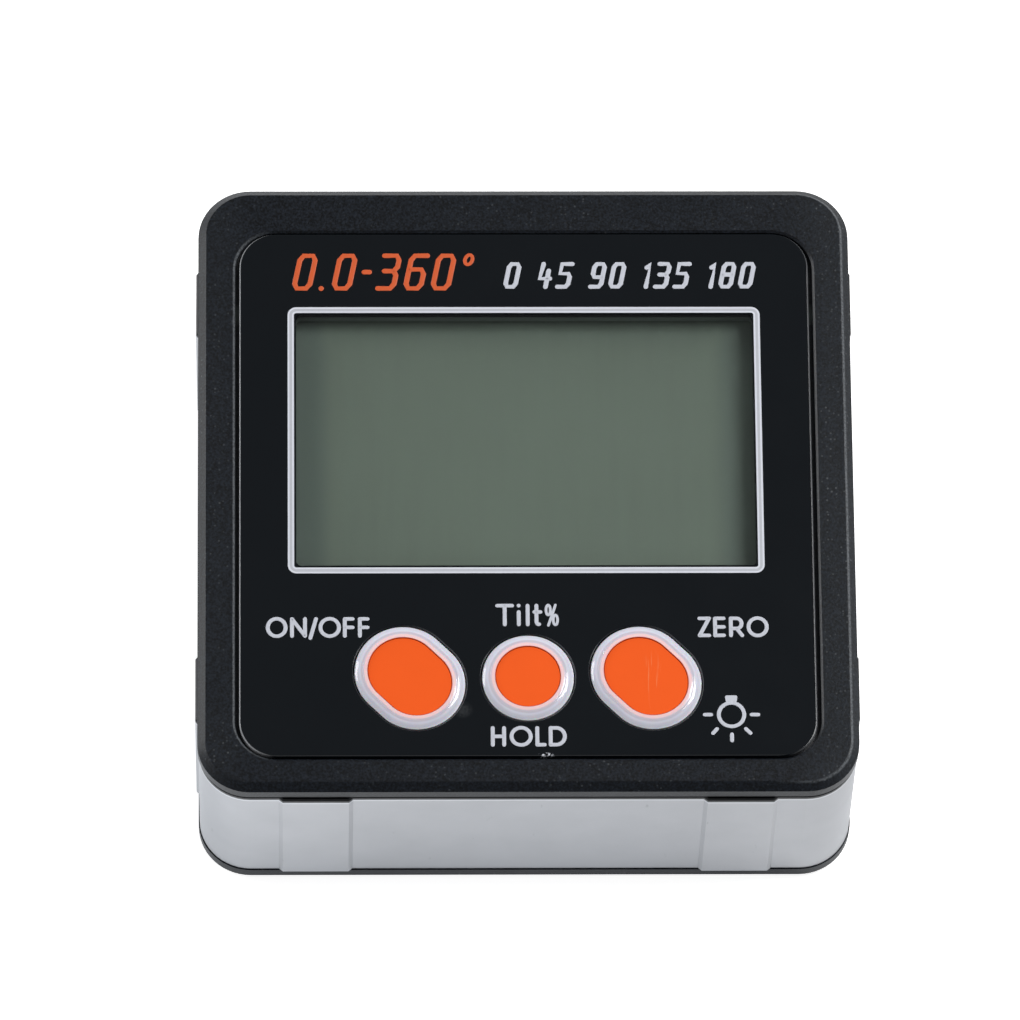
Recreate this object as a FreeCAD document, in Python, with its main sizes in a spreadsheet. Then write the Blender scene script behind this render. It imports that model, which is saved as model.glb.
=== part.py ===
import FreeCAD, Part
import math
import os
import re
import Sketcher

# A square pocket inclinometer, lying on its rear cover.
# +Z is out of the display face, -Y is towards the measuring base, +X is to the right.
# The origin is the centre of the rear face. All lengths are millimetres.

# Driving sizes: name, value, meaning

SIZES = (
    # case
    ("case_width", 60.0, "covers and band from left to right"),
    ("case_height", 60.0, "covers and band from base to top"),
    ("corner_radius", 4.8, "outer corners of covers and band"),
    ("rear_rim", 2.0, "plate of the rear cover"),
    ("band_depth", 17.4, "metal band from rear to front edge"),
    ("groove_width", 0.4, "dark groove between band and front cover"),
    ("groove_depth", 0.5, "how far the groove goes in"),
    ("front_rim", 1.9, "side of the front cover with its bevel"),
    ("cover_bevel", 0.75, "bevel round the face of each cover"),
    ("bevel_round", 0.14, "rounding where the front bevel meets the face"),
    ("fit_gap", 0.1, "gap of a part that plugs into another"),
    # metal band
    ("band_inset", 0.1, "band inside the covers' sides"),
    ("band_wall", 1.5, "wall of the band"),
    ("band_edge", 0.15, "chamfer on the band's end edges"),
    ("pad_inset", 10.75, "middle of a measuring pad from the case's side"),
    ("pad_width", 6.0, "top of a measuring pad"),
    ("pad_slope", 0.375, "sideways run of a pad's sloped flank"),
    ("pad_rise", 0.3, "height of a pad above the band"),
    # skirts and posts of the covers
    ("skirt_wall", 1.2, "wall of the skirts that plug into the band"),
    ("skirt_reach", 3.0, "how far the skirts plug in"),
    ("least_radius", 0.4, "smallest inner corner"),
    ("screw_inset", 5.3, "cover screw from the case's side"),
    ("post_radius", 2.9, "rear cover's screw post"),
    ("boss_radius", 2.5, "front cover's screw boss"),
    ("post_split", 8.0, "height where post and boss meet"),
    ("screw_radius", 1.0, "cover screw's shank"),
    ("screw_room", 3.5, "cover screw's tip below the cover's inside"),
    ("head_radius", 1.8, "cover screw's head"),
    ("head_height", 1.2, "cover screw's head"),
    ("head_sink", 4.0, "depth of the screw's seat below the rear face"),
    ("head_gap", 0.2, "gap round a screw's head"),
    ("shank_gap", 0.12, "gap round a shank that passes through"),
    ("thread_gap", 0.02, "gap at a thread that holds"),
    ("tip_room", 0.5, "room past a screw's tip"),
    ("cross_width", 0.45, "arm of the cross in a screw's head"),
    ("cross_reach_share", 0.62, "half length of the cross over the head's radius"),
    ("cross_depth", 0.6, "depth of the cross"),
    # face panel and window
    ("face_border_side", 3.79, "face panel from the case's left and right side"),
    ("face_border_top", 4.62, "face panel from the case's top side"),
    ("face_border_low", 3.25, "face panel from the case's base"),
    ("panel_radius", 3.4, "panel's corners"),
    ("panel_gap", 0.39, "gap between panel and recess at the sides"),
    ("panel_gap_top", 0.08, "gap above the panel"),
    ("panel_gap_low", 0.26, "gap below the panel"),
    ("recess_edge", 0.2, "chamfer round the recess"),
    ("panel_thickness", 0.8, "face panel"),
    ("panel_sink", 0.15, "panel below the cover's face"),
    ("panel_edge", 0.15, "rounding of the panel's front edge"),
    ("floor_wall", 1.25, "cover's wall under the panel"),
    ("window_border_side", 5.21, "display opening from the panel's left and right edge"),
    ("window_border_top", 8.18, "display opening from the panel's top edge"),
    ("window_border_low", 6.02, "display opening above the outer keys"),
    ("window_radius", 0.4, "window's corners"),
    ("lens_gap", 0.04, "gap round the window"),
    ("lens_reach", 1.0, "flange of the window past the opening"),
    ("lens_flange", 0.6, "thickness of the window's flange"),
    # keys
    ("key_pitch", 10.72, "outer keys from the middle key"),
    ("key_border_low", 7.71, "keys' middle above the panel's bottom edge"),
    ("key_radius", 4.16, "outside of the middle key's rim"),
    ("side_key_radius", 4.42, "outside of an outer key's rim, at its ends"),
    ("key_stretch", 0.6, "half length of an outer key's straight part, along X and Y"),
    ("key_ring", 1.23, "width of a key's rim round its orange face"),
    ("key_gap", 0.14, "gap round a key"),
    ("hole_edge", 0.08, "chamfer of the panel's key holes"),
    ("key_rise", 0.35, "key above the face panel"),
    ("key_edge", 0.28, "rounding of a key's rim"),
    ("key_flange_reach", 0.5, "flange that keeps a key in"),
    ("key_flange", 0.8, "thickness of that flange"),
    ("key_stem_radius", 1.5, "stem that meets the switch"),
    ("inlay_depth", 0.6, "thickness of the orange face"),
    ("inlay_sink", 0.1, "orange face below the key's rim"),
    ("inlay_gap", 0.02, "gap round the orange face"),
    # push switches
    ("switch_width", 4.5, "push switch, square"),
    ("switch_base", 1.7, "height of the switch's base"),
    ("switch_plate", 0.2, "cover plate of the switch"),
    ("switch_floor", 0.4, "floor under the plunger's bore"),
    ("plunger_radius", 1.1, "plunger of the switch"),
    ("plunger_gap", 0.08, "running gap of the plunger"),
    ("plunger_rise", 0.7, "plunger above the switch's plate"),
    ("plunger_sunk", 0.6, "plunger inside the base at rest"),
    # display
    ("gasket_thickness", 0.6, "foam gasket under the cover"),
    ("gasket_border", 1.2, "gasket's opening past the window"),
    ("glass_thickness", 0.7, "each display glass"),
    ("film_thickness", 0.2, "polarisers and reflector film"),
    ("film_border", 1.0, "front polariser past the window"),
    ("guide_thickness", 1.6, "light guide"),
    ("glass_border_side", 2.5, "glass past the window, left and right"),
    ("glass_border_end", 1.6, "rear glass past the window, bottom and top"),
    ("glass_ledge", 1.9, "contact ledge of the front glass"),
    ("frame_gap", 0.1, "gap between glass and display frame"),
    ("frame_wall", 1.0, "wall of the display frame"),
    ("strip_gap", 0.15, "gap beside a contact strip"),
    ("lamp_width", 3.0, "backlight lamp"),
    ("lamp_height", 1.2, "backlight lamp"),
    # circuit board
    ("board_thickness", 1.2, "circuit board"),
    ("board_gap", 0.3, "board inside the cover's skirt"),
    ("board_boss_radius", 1.6, "cover's bosses that carry the board"),
    ("board_screw_radius", 0.75, "board screw's shank"),
    ("board_screw_length", 4.0, "board screw's shank"),
    ("board_head_radius", 1.5, "board screw's head"),
    ("board_head_height", 0.9, "board screw's head"),
    ("lower_boss_rise", 2.04, "lower board bosses above the keys' middle"),
    ("upper_boss_inset", 2.2, "upper board bosses from the cover's hollow top"),
    ("upper_boss_gap", 0.56, "upper board screws' heads from the battery well"),
    ("chip_width", 7.0, "controller chip, square"),
    ("chip_height", 1.3, "controller chip"),
    ("chip_edge", 0.35, "chamfer of a moulded chip"),
    ("sensor_width", 5.0, "tilt sensor, square"),
    ("sensor_height", 1.5, "tilt sensor"),
    ("crystal_radius", 1.0, "crystal can"),
    ("crystal_length", 6.0, "crystal can"),
    ("regulator_width", 4.5, "voltage regulator"),
    ("regulator_length", 2.5, "voltage regulator"),
    ("regulator_height", 1.5, "voltage regulator"),
    ("capacitor_length", 3.2, "each chip capacitor"),
    ("capacitor_width", 1.6, "each chip capacitor"),
    ("capacitor_height", 1.2, "each chip capacitor"),
    ("resistor_length", 2.0, "each chip resistor"),
    ("resistor_width", 1.25, "each chip resistor"),
    ("resistor_height", 0.5, "each chip resistor"),
    # batteries and contacts
    ("well_room", 0.9, "battery well below the board"),
    ("battery_border", 4.65, "battery well from the case's top side and base"),
    ("battery_edge", 0.5, "rounding of a cell's ends"),
    ("nub_radius", 1.9, "plus nub"),
    ("nub_rise", 0.8, "plus nub"),
    ("battery_gap", 0.3, "gap round and between the cells"),
    ("well_wall", 1.0, "wall of the battery well"),
    ("contact_thickness", 0.4, "sheet of the battery contacts"),
    ("contact_border", 1.25, "battery contact's edges inside the cell's outline"),
    ("tail_width", 1.6, "solder tail of a contact"),
    ("tail_gap", 0.1, "gap round a solder tail"),
    ("tail_rise", 0.5, "solder tail past the board"),
    ("spring_length", 3.4, "contact spring when a cell is in"),
    ("spring_border", 2.05, "wide end of a contact spring inside the cell's outline"),
    ("spring_cone", 19.0, "slope of the spring's side in degrees"),
    ("spring_turns", 3.0, "turns of a contact spring"),
    ("wire_radius", 0.25, "spring wire"),
    # battery door
    ("door_sink", 0.1, "door below the rear face"),
    ("door_thickness", 1.2, "battery door"),
    ("door_ledge", 1.0, "door past the well's inside"),
    ("door_gap", 0.1, "gap round the door"),
    ("lip_thickness", 0.55, "cover's lip that holds the door's tongues"),
    ("tongue_reach", 0.8, "door's tongues past the lip"),
    ("grip_width", 10.0, "thumb grooves in the door"),
    ("grip_groove", 0.7, "each thumb groove"),
    ("grip_pitch", 1.5, "from one thumb groove to the next"),
    ("grip_depth", 0.35, "depth of a thumb groove"),
    ("grip_inset", 4.0, "first thumb groove from the top side"),
    # magnets
    ("magnet_width", 8.0, "each magnet along the base"),
    ("magnet_room", 1.3, "each magnet below the board"),
    ("magnet_thickness", 2.5, "each magnet"),
    ("magnet_edge", 0.3, "rounding of a magnet's edges"),
    ("magnet_gap", 0.1, "gap beside a magnet"),
    ("holder_wall", 1.0, "rib behind a magnet"),
    ("holder_rise", 5.0, "rib's height above the skirt"),
    # cuts
    ("overrun", 1.0, "how far a cut runs past open air"),
)

GROOVE_COUNT = 5

# Places and sizes that follow from the driving sizes: name, formula

PLACES = (
    ("half_width", "case_width / 2"),
    ("half_height", "case_height / 2"),
    ("band_front", "rear_rim + band_depth"),
    ("rim_rear", "band_front + groove_width"),
    ("front_face", "rim_rear + front_rim"),
    ("panel_front", "front_face - panel_sink"),
    ("recess_floor", "panel_front - panel_thickness"),
    ("cover_inside", "recess_floor - floor_wall"),
    ("flange_floor", "recess_floor - lens_flange"),
    ("key_top", "panel_front + key_rise"),
    ("band_half_width", "half_width - band_inset"),
    ("band_half_height", "half_height - band_inset"),
    ("band_radius", "max(corner_radius - band_inset, least_radius)"),
    ("bore_half_width", "band_half_width - band_wall"),
    ("bore_half_height", "band_half_height - band_wall"),
    ("bore_radius", "max(band_radius - band_wall, least_radius)"),
    ("skirt_half_width", "bore_half_width - fit_gap"),
    ("skirt_half_height", "bore_half_height - fit_gap"),
    ("skirt_radius", "max(bore_radius - fit_gap, least_radius)"),
    ("hollow_half_width", "skirt_half_width - skirt_wall"),
    ("hollow_half_height", "skirt_half_height - skirt_wall"),
    ("hollow_radius", "max(skirt_radius - skirt_wall, least_radius)"),
    ("screw_x", "half_width - screw_inset"),
    ("screw_y", "half_height - screw_inset"),
    ("panel_half_width", "half_width - face_border_side"),
    ("panel_half_height", "half_height - (face_border_top + face_border_low) / 2"),
    ("panel_drop", "(face_border_top - face_border_low) / 2"),
    ("recess_half_height", "panel_half_height + (panel_gap_top + panel_gap_low) / 2"),
    ("recess_drop", "panel_drop + (panel_gap_low - panel_gap_top) / 2"),
    ("key_drop", "panel_drop + panel_half_height - key_border_low"),
    ("key_reach", "side_key_radius + key_stretch"),
    ("window_low", "0 - key_drop + key_reach + window_border_low"),
    ("window_high", "panel_half_height - panel_drop - window_border_top"),
    ("window_half_width", "panel_half_width - window_border_side"),
    ("window_half_height", "(window_high - window_low) / 2"),
    ("window_rise", "(window_high + window_low) / 2"),
    ("glass_front", "cover_inside - gasket_thickness"),
    ("glass_seam", "glass_front - glass_thickness"),
    ("glass_rear", "glass_seam - glass_thickness"),
    ("guide_front", "glass_rear - film_thickness"),
    ("guide_rear", "guide_front - guide_thickness"),
    ("board_front", "guide_rear - film_thickness"),
    ("board_rear", "board_front - board_thickness"),
    ("glass_half_width", "window_half_width + glass_border_side"),
    ("rear_glass_half", "window_half_height + glass_border_end"),
    ("front_glass_half", "rear_glass_half + glass_ledge"),
    ("frame_in_width", "glass_half_width + frame_gap"),
    ("frame_in_height", "front_glass_half + frame_gap"),
    ("frame_out_width", "frame_in_width + frame_wall"),
    ("frame_out_height", "frame_in_height + frame_wall"),
    ("strip_width", "glass_ledge - 2 * strip_gap"),
    ("board_half_width", "hollow_half_width - board_gap"),
    ("board_half_height", "hollow_half_height - board_gap"),
    ("notch_x", "screw_x - boss_radius - board_gap"),
    ("notch_y", "screw_y - boss_radius - board_gap"),
    ("plate_top", "board_front + switch_base + switch_plate"),
    ("plunger_top", "plate_top + plunger_rise"),
    ("door_top", "door_sink + door_thickness"),
    ("recess_depth", "door_top + door_gap"),
    ("tongue_floor", "lip_thickness + door_gap"),
    ("well_outside", "board_rear - well_room"),
    ("battery_diameter", "well_outside - well_wall - door_top - 2 * battery_gap"),
    ("battery_x", "(battery_diameter + battery_gap) / 2"),
    ("battery_z", "door_top + battery_gap + battery_diameter / 2"),
    ("well_ceiling", "battery_z + battery_diameter / 2 + battery_gap"),
    ("contact_width", "battery_diameter - 2 * contact_border"),
    ("spring_radius", "battery_diameter / 2 - spring_border"),
    ("well_half_width", "battery_diameter + 1.5 * battery_gap"),
    ("well_half_length", "half_height - battery_border - well_wall"),
    ("contact_face", "well_half_length - contact_thickness"),
    ("battery_length", "2 * contact_face - spring_length"),
    ("well_out_width", "well_half_width + well_wall"),
    ("well_out_length", "well_half_length + well_wall"),
    ("door_half_width", "well_half_width + door_ledge"),
    ("door_end", "well_half_length + door_ledge"),
    ("skirt_top", "rear_rim + skirt_reach"),
    ("magnet_height", "board_rear - magnet_room - skirt_top"),
    ("screw_length", "cover_inside - screw_room - head_sink"),
    ("magnet_x", "screw_x - post_radius - magnet_width / 2 - magnet_gap"),
    ("magnet_back", "bore_half_height - magnet_thickness - magnet_gap"),
    ("lower_boss_x", "(hollow_half_width + key_pitch + key_reach + key_flange_reach) / 2"),
    ("lower_boss_drop", "key_drop - lower_boss_rise"),
    ("upper_boss_x", "well_out_width + board_head_radius + upper_boss_gap"),
    ("upper_boss_y", "hollow_half_height - upper_boss_inset"),
)

# Chips on the board's rear face, left or right of the battery well, as shares of
# the room between the well and the board's side, and of the board's half height

CONTROLLER_SHARES = (0.51, 0.20)
SENSOR_SHARES = (-0.51, 0.16)
CRYSTAL_SHARES = (0.51, -0.12)
REGULATOR_SHARES = (-0.51, -0.30)
CAPACITOR_SHARES = ((0.31, 0.55), (0.71, 0.55), (-0.31, 0.50), (-0.71, 0.50))
RESISTOR_SHARES = ((0.31, -0.35), (0.71, -0.35), (-0.31, -0.10), (-0.71, -0.10))

SIDES = (-1, 1)
CORNERS = tuple((across, up) for across in SIDES for up in SIDES)
KEYS = (("on_off", -1), ("hold", 0), ("zero", 1))
COVER_SCREWS = tuple((f"{across} * screw_x", f"{up} * screw_y") for across, up in CORNERS)
BOARD_SCREWS = tuple(
    (f"{side} * {x}", y)
    for side in SIDES
    for x, y in (("lower_boss_x", "0 - lower_boss_drop"), ("upper_boss_x", "upper_boss_y"))
)

# How the sketcher counts an edge's points and its own two axes

START, END, CENTRE = range(1, 4)
H_AXIS, V_AXIS = range(-1, -3, -1)
ORIGIN, ORIGIN_POINT = H_AXIS, START

UP = FreeCAD.Vector(0, 0, 1)
QUARTER_TURN = 90
NEAR = 1e-4

doc = FreeCAD.newDocument("inclinometer")

sheet = doc.addObject("Spreadsheet::Sheet", "Sizes")
for row, (alias, value, meaning) in enumerate(SIZES, start=1):
    sheet.set(f"A{row}", meaning)
    sheet.set(f"B{row}", str(value))
    sheet.setAlias(f"B{row}", alias)
doc.recompute()

HOLDERS = {alias: "Sizes." for alias, value, meaning in SIZES}
HOLDERS.update({name: "Places." for name, text in PLACES})
WORD = re.compile(r"[a-z_]+")


def formula(text):
    """The text with each size and place led by the object that holds it."""
    return WORD.sub(lambda found: HOLDERS.get(found.group(0), "") + found.group(0), text)


places = doc.addObject("App::VarSet", "Places")
for name, text in PLACES:
    places.addProperty("App::PropertyFloat", name, "Places", text)
    places.setExpression(name, formula(text))
doc.recompute()

pieces = []


def number(text):
    """What a formula comes to with the present sizes."""
    return float(sheet.evalExpression(formula(text)))


def bind(thing, field, text):
    """Ties one property to a formula."""
    thing.setExpression(field, formula(text))


def stand(thing, x="0", y="0", z="0"):
    """Ties the place of a finished sub-part."""
    for axis, text in (("x", x), ("y", y), ("z", z)):
        bind(thing, "Placement.Base." + axis, text)


def new_body(label):
    """An empty body for one sub-part."""
    body = doc.addObject("PartDesign::Body", label)
    body.Label = label
    pieces.append(body)
    return body


def origin_plane(body, role):
    """One of the body's own three planes."""
    return next(item for item in body.Origin.OriginFeatures if item.Role == role)


def sketch_at(body, name, height="0", role="XY_Plane"):
    """An empty sketch on one of the body's planes, lifted by height."""
    sketch = body.newObject("Sketcher::SketchObject", body.Name + "_" + name)
    sketch.AttachmentSupport = [(origin_plane(body, role), "")]
    sketch.MapMode = "FlatFace"
    bind(sketch, "AttachmentOffset.Base.z", height)
    return sketch


def drive(sketch, parts, text):
    """Adds one dimension and ties it to a formula."""
    index = sketch.addConstraint(Sketcher.Constraint(*parts, number(text)))
    sketch.setExpression(f"Constraints[{index}]", formula(text))


def pin(sketch, geometry, point, x, y):
    """Holds one point at x and y from the sketch's origin."""
    for kind, axis, text in (("DistanceX", V_AXIS, x), ("DistanceY", H_AXIS, y)):
        if text == "0":
            sketch.addConstraint(Sketcher.Constraint("PointOnObject", geometry, point, axis))
        else:
            drive(sketch, (kind, ORIGIN, ORIGIN_POINT, geometry, point), text)


def circle(sketch, radius, x="0", y="0"):
    """A circle about x, y."""
    centre = FreeCAD.Vector(number(x), number(y), 0)
    ring = sketch.addGeometry(Part.Circle(centre, UP, number(radius)))
    pin(sketch, ring, CENTRE, x, y)
    drive(sketch, ("Radius", ring), radius)


def polygon(sketch, corners):
    """A closed outline of straight lines through the corners."""
    spots = [FreeCAD.Vector(number(x), number(y), 0) for x, y in corners]
    count = len(spots)
    lines = [
        sketch.addGeometry(Part.LineSegment(spots[index], spots[(index + 1) % count]))
        for index in range(count)
    ]
    for index, line in enumerate(lines):
        following = lines[(index + 1) % count]
        sketch.addConstraint(Sketcher.Constraint("Coincident", line, END, following, START))
        pin(sketch, line, START, *corners[index])


def rectangle(sketch, half_width, half_height, x="0", y="0"):
    """A rectangle about x, y."""
    left, right = f"{x} - ({half_width})", f"{x} + {half_width}"
    low, high = f"{y} - ({half_height})", f"{y} + {half_height}"
    polygon(sketch, ((left, low), (right, low), (right, high), (left, high)))


def rounded_rectangle(sketch, half_width, half_height, radius, y="0"):
    """A rectangle about 0, y with four quarter arcs for corners."""
    wide, tall, bend, middle = number(half_width), number(half_height), number(radius), number(y)
    flat, upright = wide - bend, tall - bend

    def spot(across, up):
        return FreeCAD.Vector(across, middle + up, 0)

    lines = [
        sketch.addGeometry(Part.LineSegment(start, end))
        for start, end in (
            (spot(-flat, -tall), spot(flat, -tall)),
            (spot(wide, -upright), spot(wide, upright)),
            (spot(flat, tall), spot(-flat, tall)),
            (spot(-wide, upright), spot(-wide, -upright)),
        )
    ]
    slant = bend / 2**0.5
    arcs = [
        sketch.addGeometry(Part.Arc(start, spot(*through), end))
        for start, through, end in (
            (spot(flat, -tall), (flat + slant, -upright - slant), spot(wide, -upright)),
            (spot(wide, upright), (flat + slant, upright + slant), spot(flat, tall)),
            (spot(-flat, tall), (-flat - slant, upright + slant), spot(-wide, upright)),
            (spot(-wide, -upright), (-flat - slant, -upright - slant), spot(-flat, -tall)),
        )
    ]
    for index, arc in enumerate(arcs):
        following = lines[(index + 1) % len(lines)]
        sketch.addConstraint(Sketcher.Constraint("Tangent", lines[index], END, arc, START))
        sketch.addConstraint(Sketcher.Constraint("Tangent", arc, END, following, START))
    for index, kind in enumerate(("Horizontal", "Vertical", "Horizontal", "Vertical")):
        sketch.addConstraint(Sketcher.Constraint(kind, lines[index]))
    for arc in arcs[1:]:
        sketch.addConstraint(Sketcher.Constraint("Equal", arcs[0], arc))
    bottom, right, top, left = lines
    for kind, line, text in (
        ("DistanceY", bottom, f"{y} - ({half_height})"),
        ("DistanceX", right, half_width),
        ("DistanceY", top, f"{y} + {half_height}"),
        ("DistanceX", left, f"0 - ({half_width})"),
    ):
        drive(sketch, (kind, ORIGIN, ORIGIN_POINT, line, START), text)
    drive(sketch, ("Radius", arcs[0]), radius)


def slanted_slot(sketch, radius, stretch, x="0", y="0"):
    """An outline of two half circles and two lines, long from upper left to lower right."""
    reach, run = number(radius), number(stretch)
    middle = FreeCAD.Vector(number(x), number(y), 0)
    out = FreeCAD.Vector(1, 1, 0).normalize() * reach
    along = FreeCAD.Vector(1, -1, 0).normalize() * reach
    low = middle + FreeCAD.Vector(run, -run, 0)
    high = middle - FreeCAD.Vector(run, -run, 0)
    upper_arc = sketch.addGeometry(Part.Arc(high + out, high - along, high - out))
    lower_line = sketch.addGeometry(Part.LineSegment(high - out, low - out))
    lower_arc = sketch.addGeometry(Part.Arc(low - out, low + along, low + out))
    upper_line = sketch.addGeometry(Part.LineSegment(low + out, high + out))
    turns = (upper_arc, lower_line, lower_arc, upper_line)
    for index, edge in enumerate(turns):
        following = turns[(index + 1) % len(turns)]
        sketch.addConstraint(Sketcher.Constraint("Tangent", edge, END, following, START))
    sketch.addConstraint(Sketcher.Constraint("Equal", upper_arc, lower_arc))
    pin(sketch, upper_arc, CENTRE, f"{x} - {stretch}", f"{y} + {stretch}")
    pin(sketch, lower_arc, CENTRE, f"{x} + {stretch}", f"{y} - {stretch}")
    drive(sketch, ("Radius", upper_arc), radius)


def key_outline(sketch, side, out, x="0", y="0"):
    """The middle key's circle, or an outer key's slanted slot, this far outside the rim."""
    if side == 0:
        circle(sketch, f"key_radius + {out}", x, y)
    else:
        slanted_slot(sketch, f"side_key_radius + {out}", "key_stretch", x, y)


def all_key_outlines(sketch, out):
    """The three keys' outlines in their places on the face."""
    for name, side in KEYS:
        key_outline(sketch, side, out, f"{side} * key_pitch", "0 - key_drop")


def grow(body, sketch, length):
    """Adds the outline's prism above the sketch."""
    feature = body.newObject("PartDesign::Pad", sketch.Name + "_pad")
    feature.Profile = sketch
    bind(feature, "Length", length)
    sketch.Visibility = False
    doc.recompute()
    return feature


def cut(body, sketch, depth, upward=False):
    """Takes the outline's prism away, below the sketch or above it."""
    before = body.Shape.Volume
    feature = body.newObject("PartDesign::Pocket", sketch.Name + "_cut")
    feature.Profile = sketch
    feature.Reversed = upward
    bind(feature, "Length", depth)
    doc.recompute()
    if not body.Shape.Volume < before:
        raise RuntimeError(feature.Name + " takes nothing away")
    return feature


def level_edges(feature, height, across="half_width", up="half_height", under="half_height"):
    """Names of the edges that lie flat at a height, within across and up of the middle."""
    level = number(height)
    wide, tall, top = number(across) + NEAR, number(up) + NEAR, number(under) + NEAR
    names = []
    for index, edge in enumerate(feature.Shape.Edges, start=1):
        box = edge.BoundBox
        flat = abs(box.ZMin - level) < NEAR and abs(box.ZMax - level) < NEAR
        within = max(-box.XMin, box.XMax) < wide and max(-box.YMin, box.YMax) < tall
        within = within and box.YMax < top
        if flat and within:
            names.append(f"Edge{index}")
    return names


def dress(body, kind, feature, edges, field, text):
    """Adds a chamfer or a fillet to named edges."""
    dressing = body.newObject("PartDesign::" + kind, feature.Name + "_" + kind.lower())
    dressing.Base = (feature, edges)
    bind(dressing, field, text)
    doc.recompute()
    return dressing


def block(label, length, width, height, x="0", y="0", z="0"):
    """A box centred on x, y that stands on z."""
    box = doc.addObject("Part::Box", label)
    box.Label = label
    bind(box, "Length", length)
    bind(box, "Width", width)
    bind(box, "Height", height)
    stand(box, f"{x} - ({length}) / 2", f"{y} - ({width}) / 2", z)
    pieces.append(box)
    return box


def circles_at(spots, sketch, radius):
    """The same circle at each spot."""
    for x, y in spots:
        circle(sketch, radius, x, y)


# The case

def build_metal_band():
    """A square tube of aluminium with two raised pads on each side."""
    body = new_body("metal_band")
    ring = sketch_at(body, "ring", "rear_rim")
    rounded_rectangle(ring, "band_half_width", "band_half_height", "band_radius")
    rounded_rectangle(ring, "bore_half_width", "bore_half_height", "bore_radius")
    grow(body, ring, "band_depth")
    feet = sketch_at(body, "pads", "rear_rim")
    top, foot = "pad_width / 2", "(pad_width / 2 + pad_slope)"
    root = "band_wall / 2"
    for way in SIDES:
        for side in SIDES:
            middle_x = f"{side} * (half_width - pad_inset)"
            middle_y = f"{side} * (half_height - pad_inset)"
            outline = (
                (f"0 - {foot}", f"0 - {root}"),
                (f"0 - {foot}", "0"),
                (f"0 - {top}", "pad_rise"),
                (top, "pad_rise"),
                (foot, "0"),
                (foot, f"0 - {root}"),
            )
            polygon(feet, [
                (f"{middle_x} + {along}", f"{way} * (band_half_height + {out})")
                for along, out in outline
            ])
            polygon(feet, [
                (f"{way} * (band_half_width + {out})", f"{middle_y} + {along}")
                for along, out in outline
            ])
    pads = grow(body, feet, "band_depth")
    ends = [
        name
        for height in ("rear_rim", "band_front")
        for name in level_edges(
            pads, height, "band_half_width + pad_rise", "band_half_height + pad_rise"
        )
    ]
    dress(body, "Chamfer", pads, ends, "Size", "band_edge")


def build_front_cover():
    """Bevelled face with a recess, a window, key holes, bosses and a skirt."""
    body = new_body("front_cover")
    rim = sketch_at(body, "rim", "rim_rear")
    rounded_rectangle(rim, "half_width", "half_height", "corner_radius")
    rim_pad = grow(body, rim, "front_rim")
    edges = level_edges(rim_pad, "front_face")
    bevel = dress(body, "Chamfer", rim_pad, edges, "Size", "cover_bevel")
    dress(body, "Fillet", bevel, level_edges(bevel, "front_face"), "Radius", "bevel_round")
    neck = sketch_at(body, "neck", "band_front")
    rounded_rectangle(
        neck,
        "half_width - groove_depth",
        "half_height - groove_depth",
        "max(corner_radius - groove_depth, least_radius)",
    )
    grow(body, neck, "groove_width")
    skirt = sketch_at(body, "skirt", "band_front - skirt_reach")
    rounded_rectangle(skirt, "skirt_half_width", "skirt_half_height", "skirt_radius")
    grow(body, skirt, "skirt_reach")
    hollow = sketch_at(body, "hollow", "band_front - skirt_reach")
    rounded_rectangle(hollow, "hollow_half_width", "hollow_half_height", "hollow_radius")
    cut(body, hollow, "cover_inside - band_front + skirt_reach", upward=True)
    recess = sketch_at(body, "recess", "front_face")
    rounded_rectangle(
        recess,
        "panel_half_width + panel_gap",
        "recess_half_height",
        "panel_radius + panel_gap",
        "0 - recess_drop",
    )
    recess_cut = cut(body, recess, "panel_sink + panel_thickness")
    rims = level_edges(
        recess_cut,
        "front_face",
        "panel_half_width + panel_gap",
        "recess_half_height + recess_drop",
    )
    dress(body, "Chamfer", recess_cut, rims, "Size", "recess_edge")
    rebate = sketch_at(body, "rebate", "recess_floor")
    rounded_rectangle(
        rebate,
        "window_half_width + lens_reach",
        "window_half_height + lens_reach",
        "window_radius + lens_reach",
        "window_rise",
    )
    cut(body, rebate, "lens_flange")
    window = sketch_at(body, "window", "recess_floor")
    rounded_rectangle(
        window, "window_half_width", "window_half_height", "window_radius", "window_rise"
    )
    cut(body, window, "floor_wall")
    holes = sketch_at(body, "key_holes", "recess_floor")
    all_key_outlines(holes, "key_gap")
    cut(body, holes, "floor_wall")
    bosses = sketch_at(body, "bosses", "post_split")
    circles_at(COVER_SCREWS, bosses, "boss_radius")
    grow(body, bosses, "cover_inside - post_split")
    threads = sketch_at(body, "threads", "post_split")
    circles_at(COVER_SCREWS, threads, "screw_radius + thread_gap")
    cut(body, threads, "head_sink + screw_length - post_split + tip_room", upward=True)
    board_bosses = sketch_at(body, "board_bosses", "board_front")
    circles_at(BOARD_SCREWS, board_bosses, "board_boss_radius")
    grow(body, board_bosses, "cover_inside - board_front")
    board_threads = sketch_at(body, "board_threads", "board_front")
    circles_at(BOARD_SCREWS, board_threads, "board_screw_radius + thread_gap")
    cut(body, board_threads, "board_screw_length - board_thickness + tip_room", upward=True)


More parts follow.
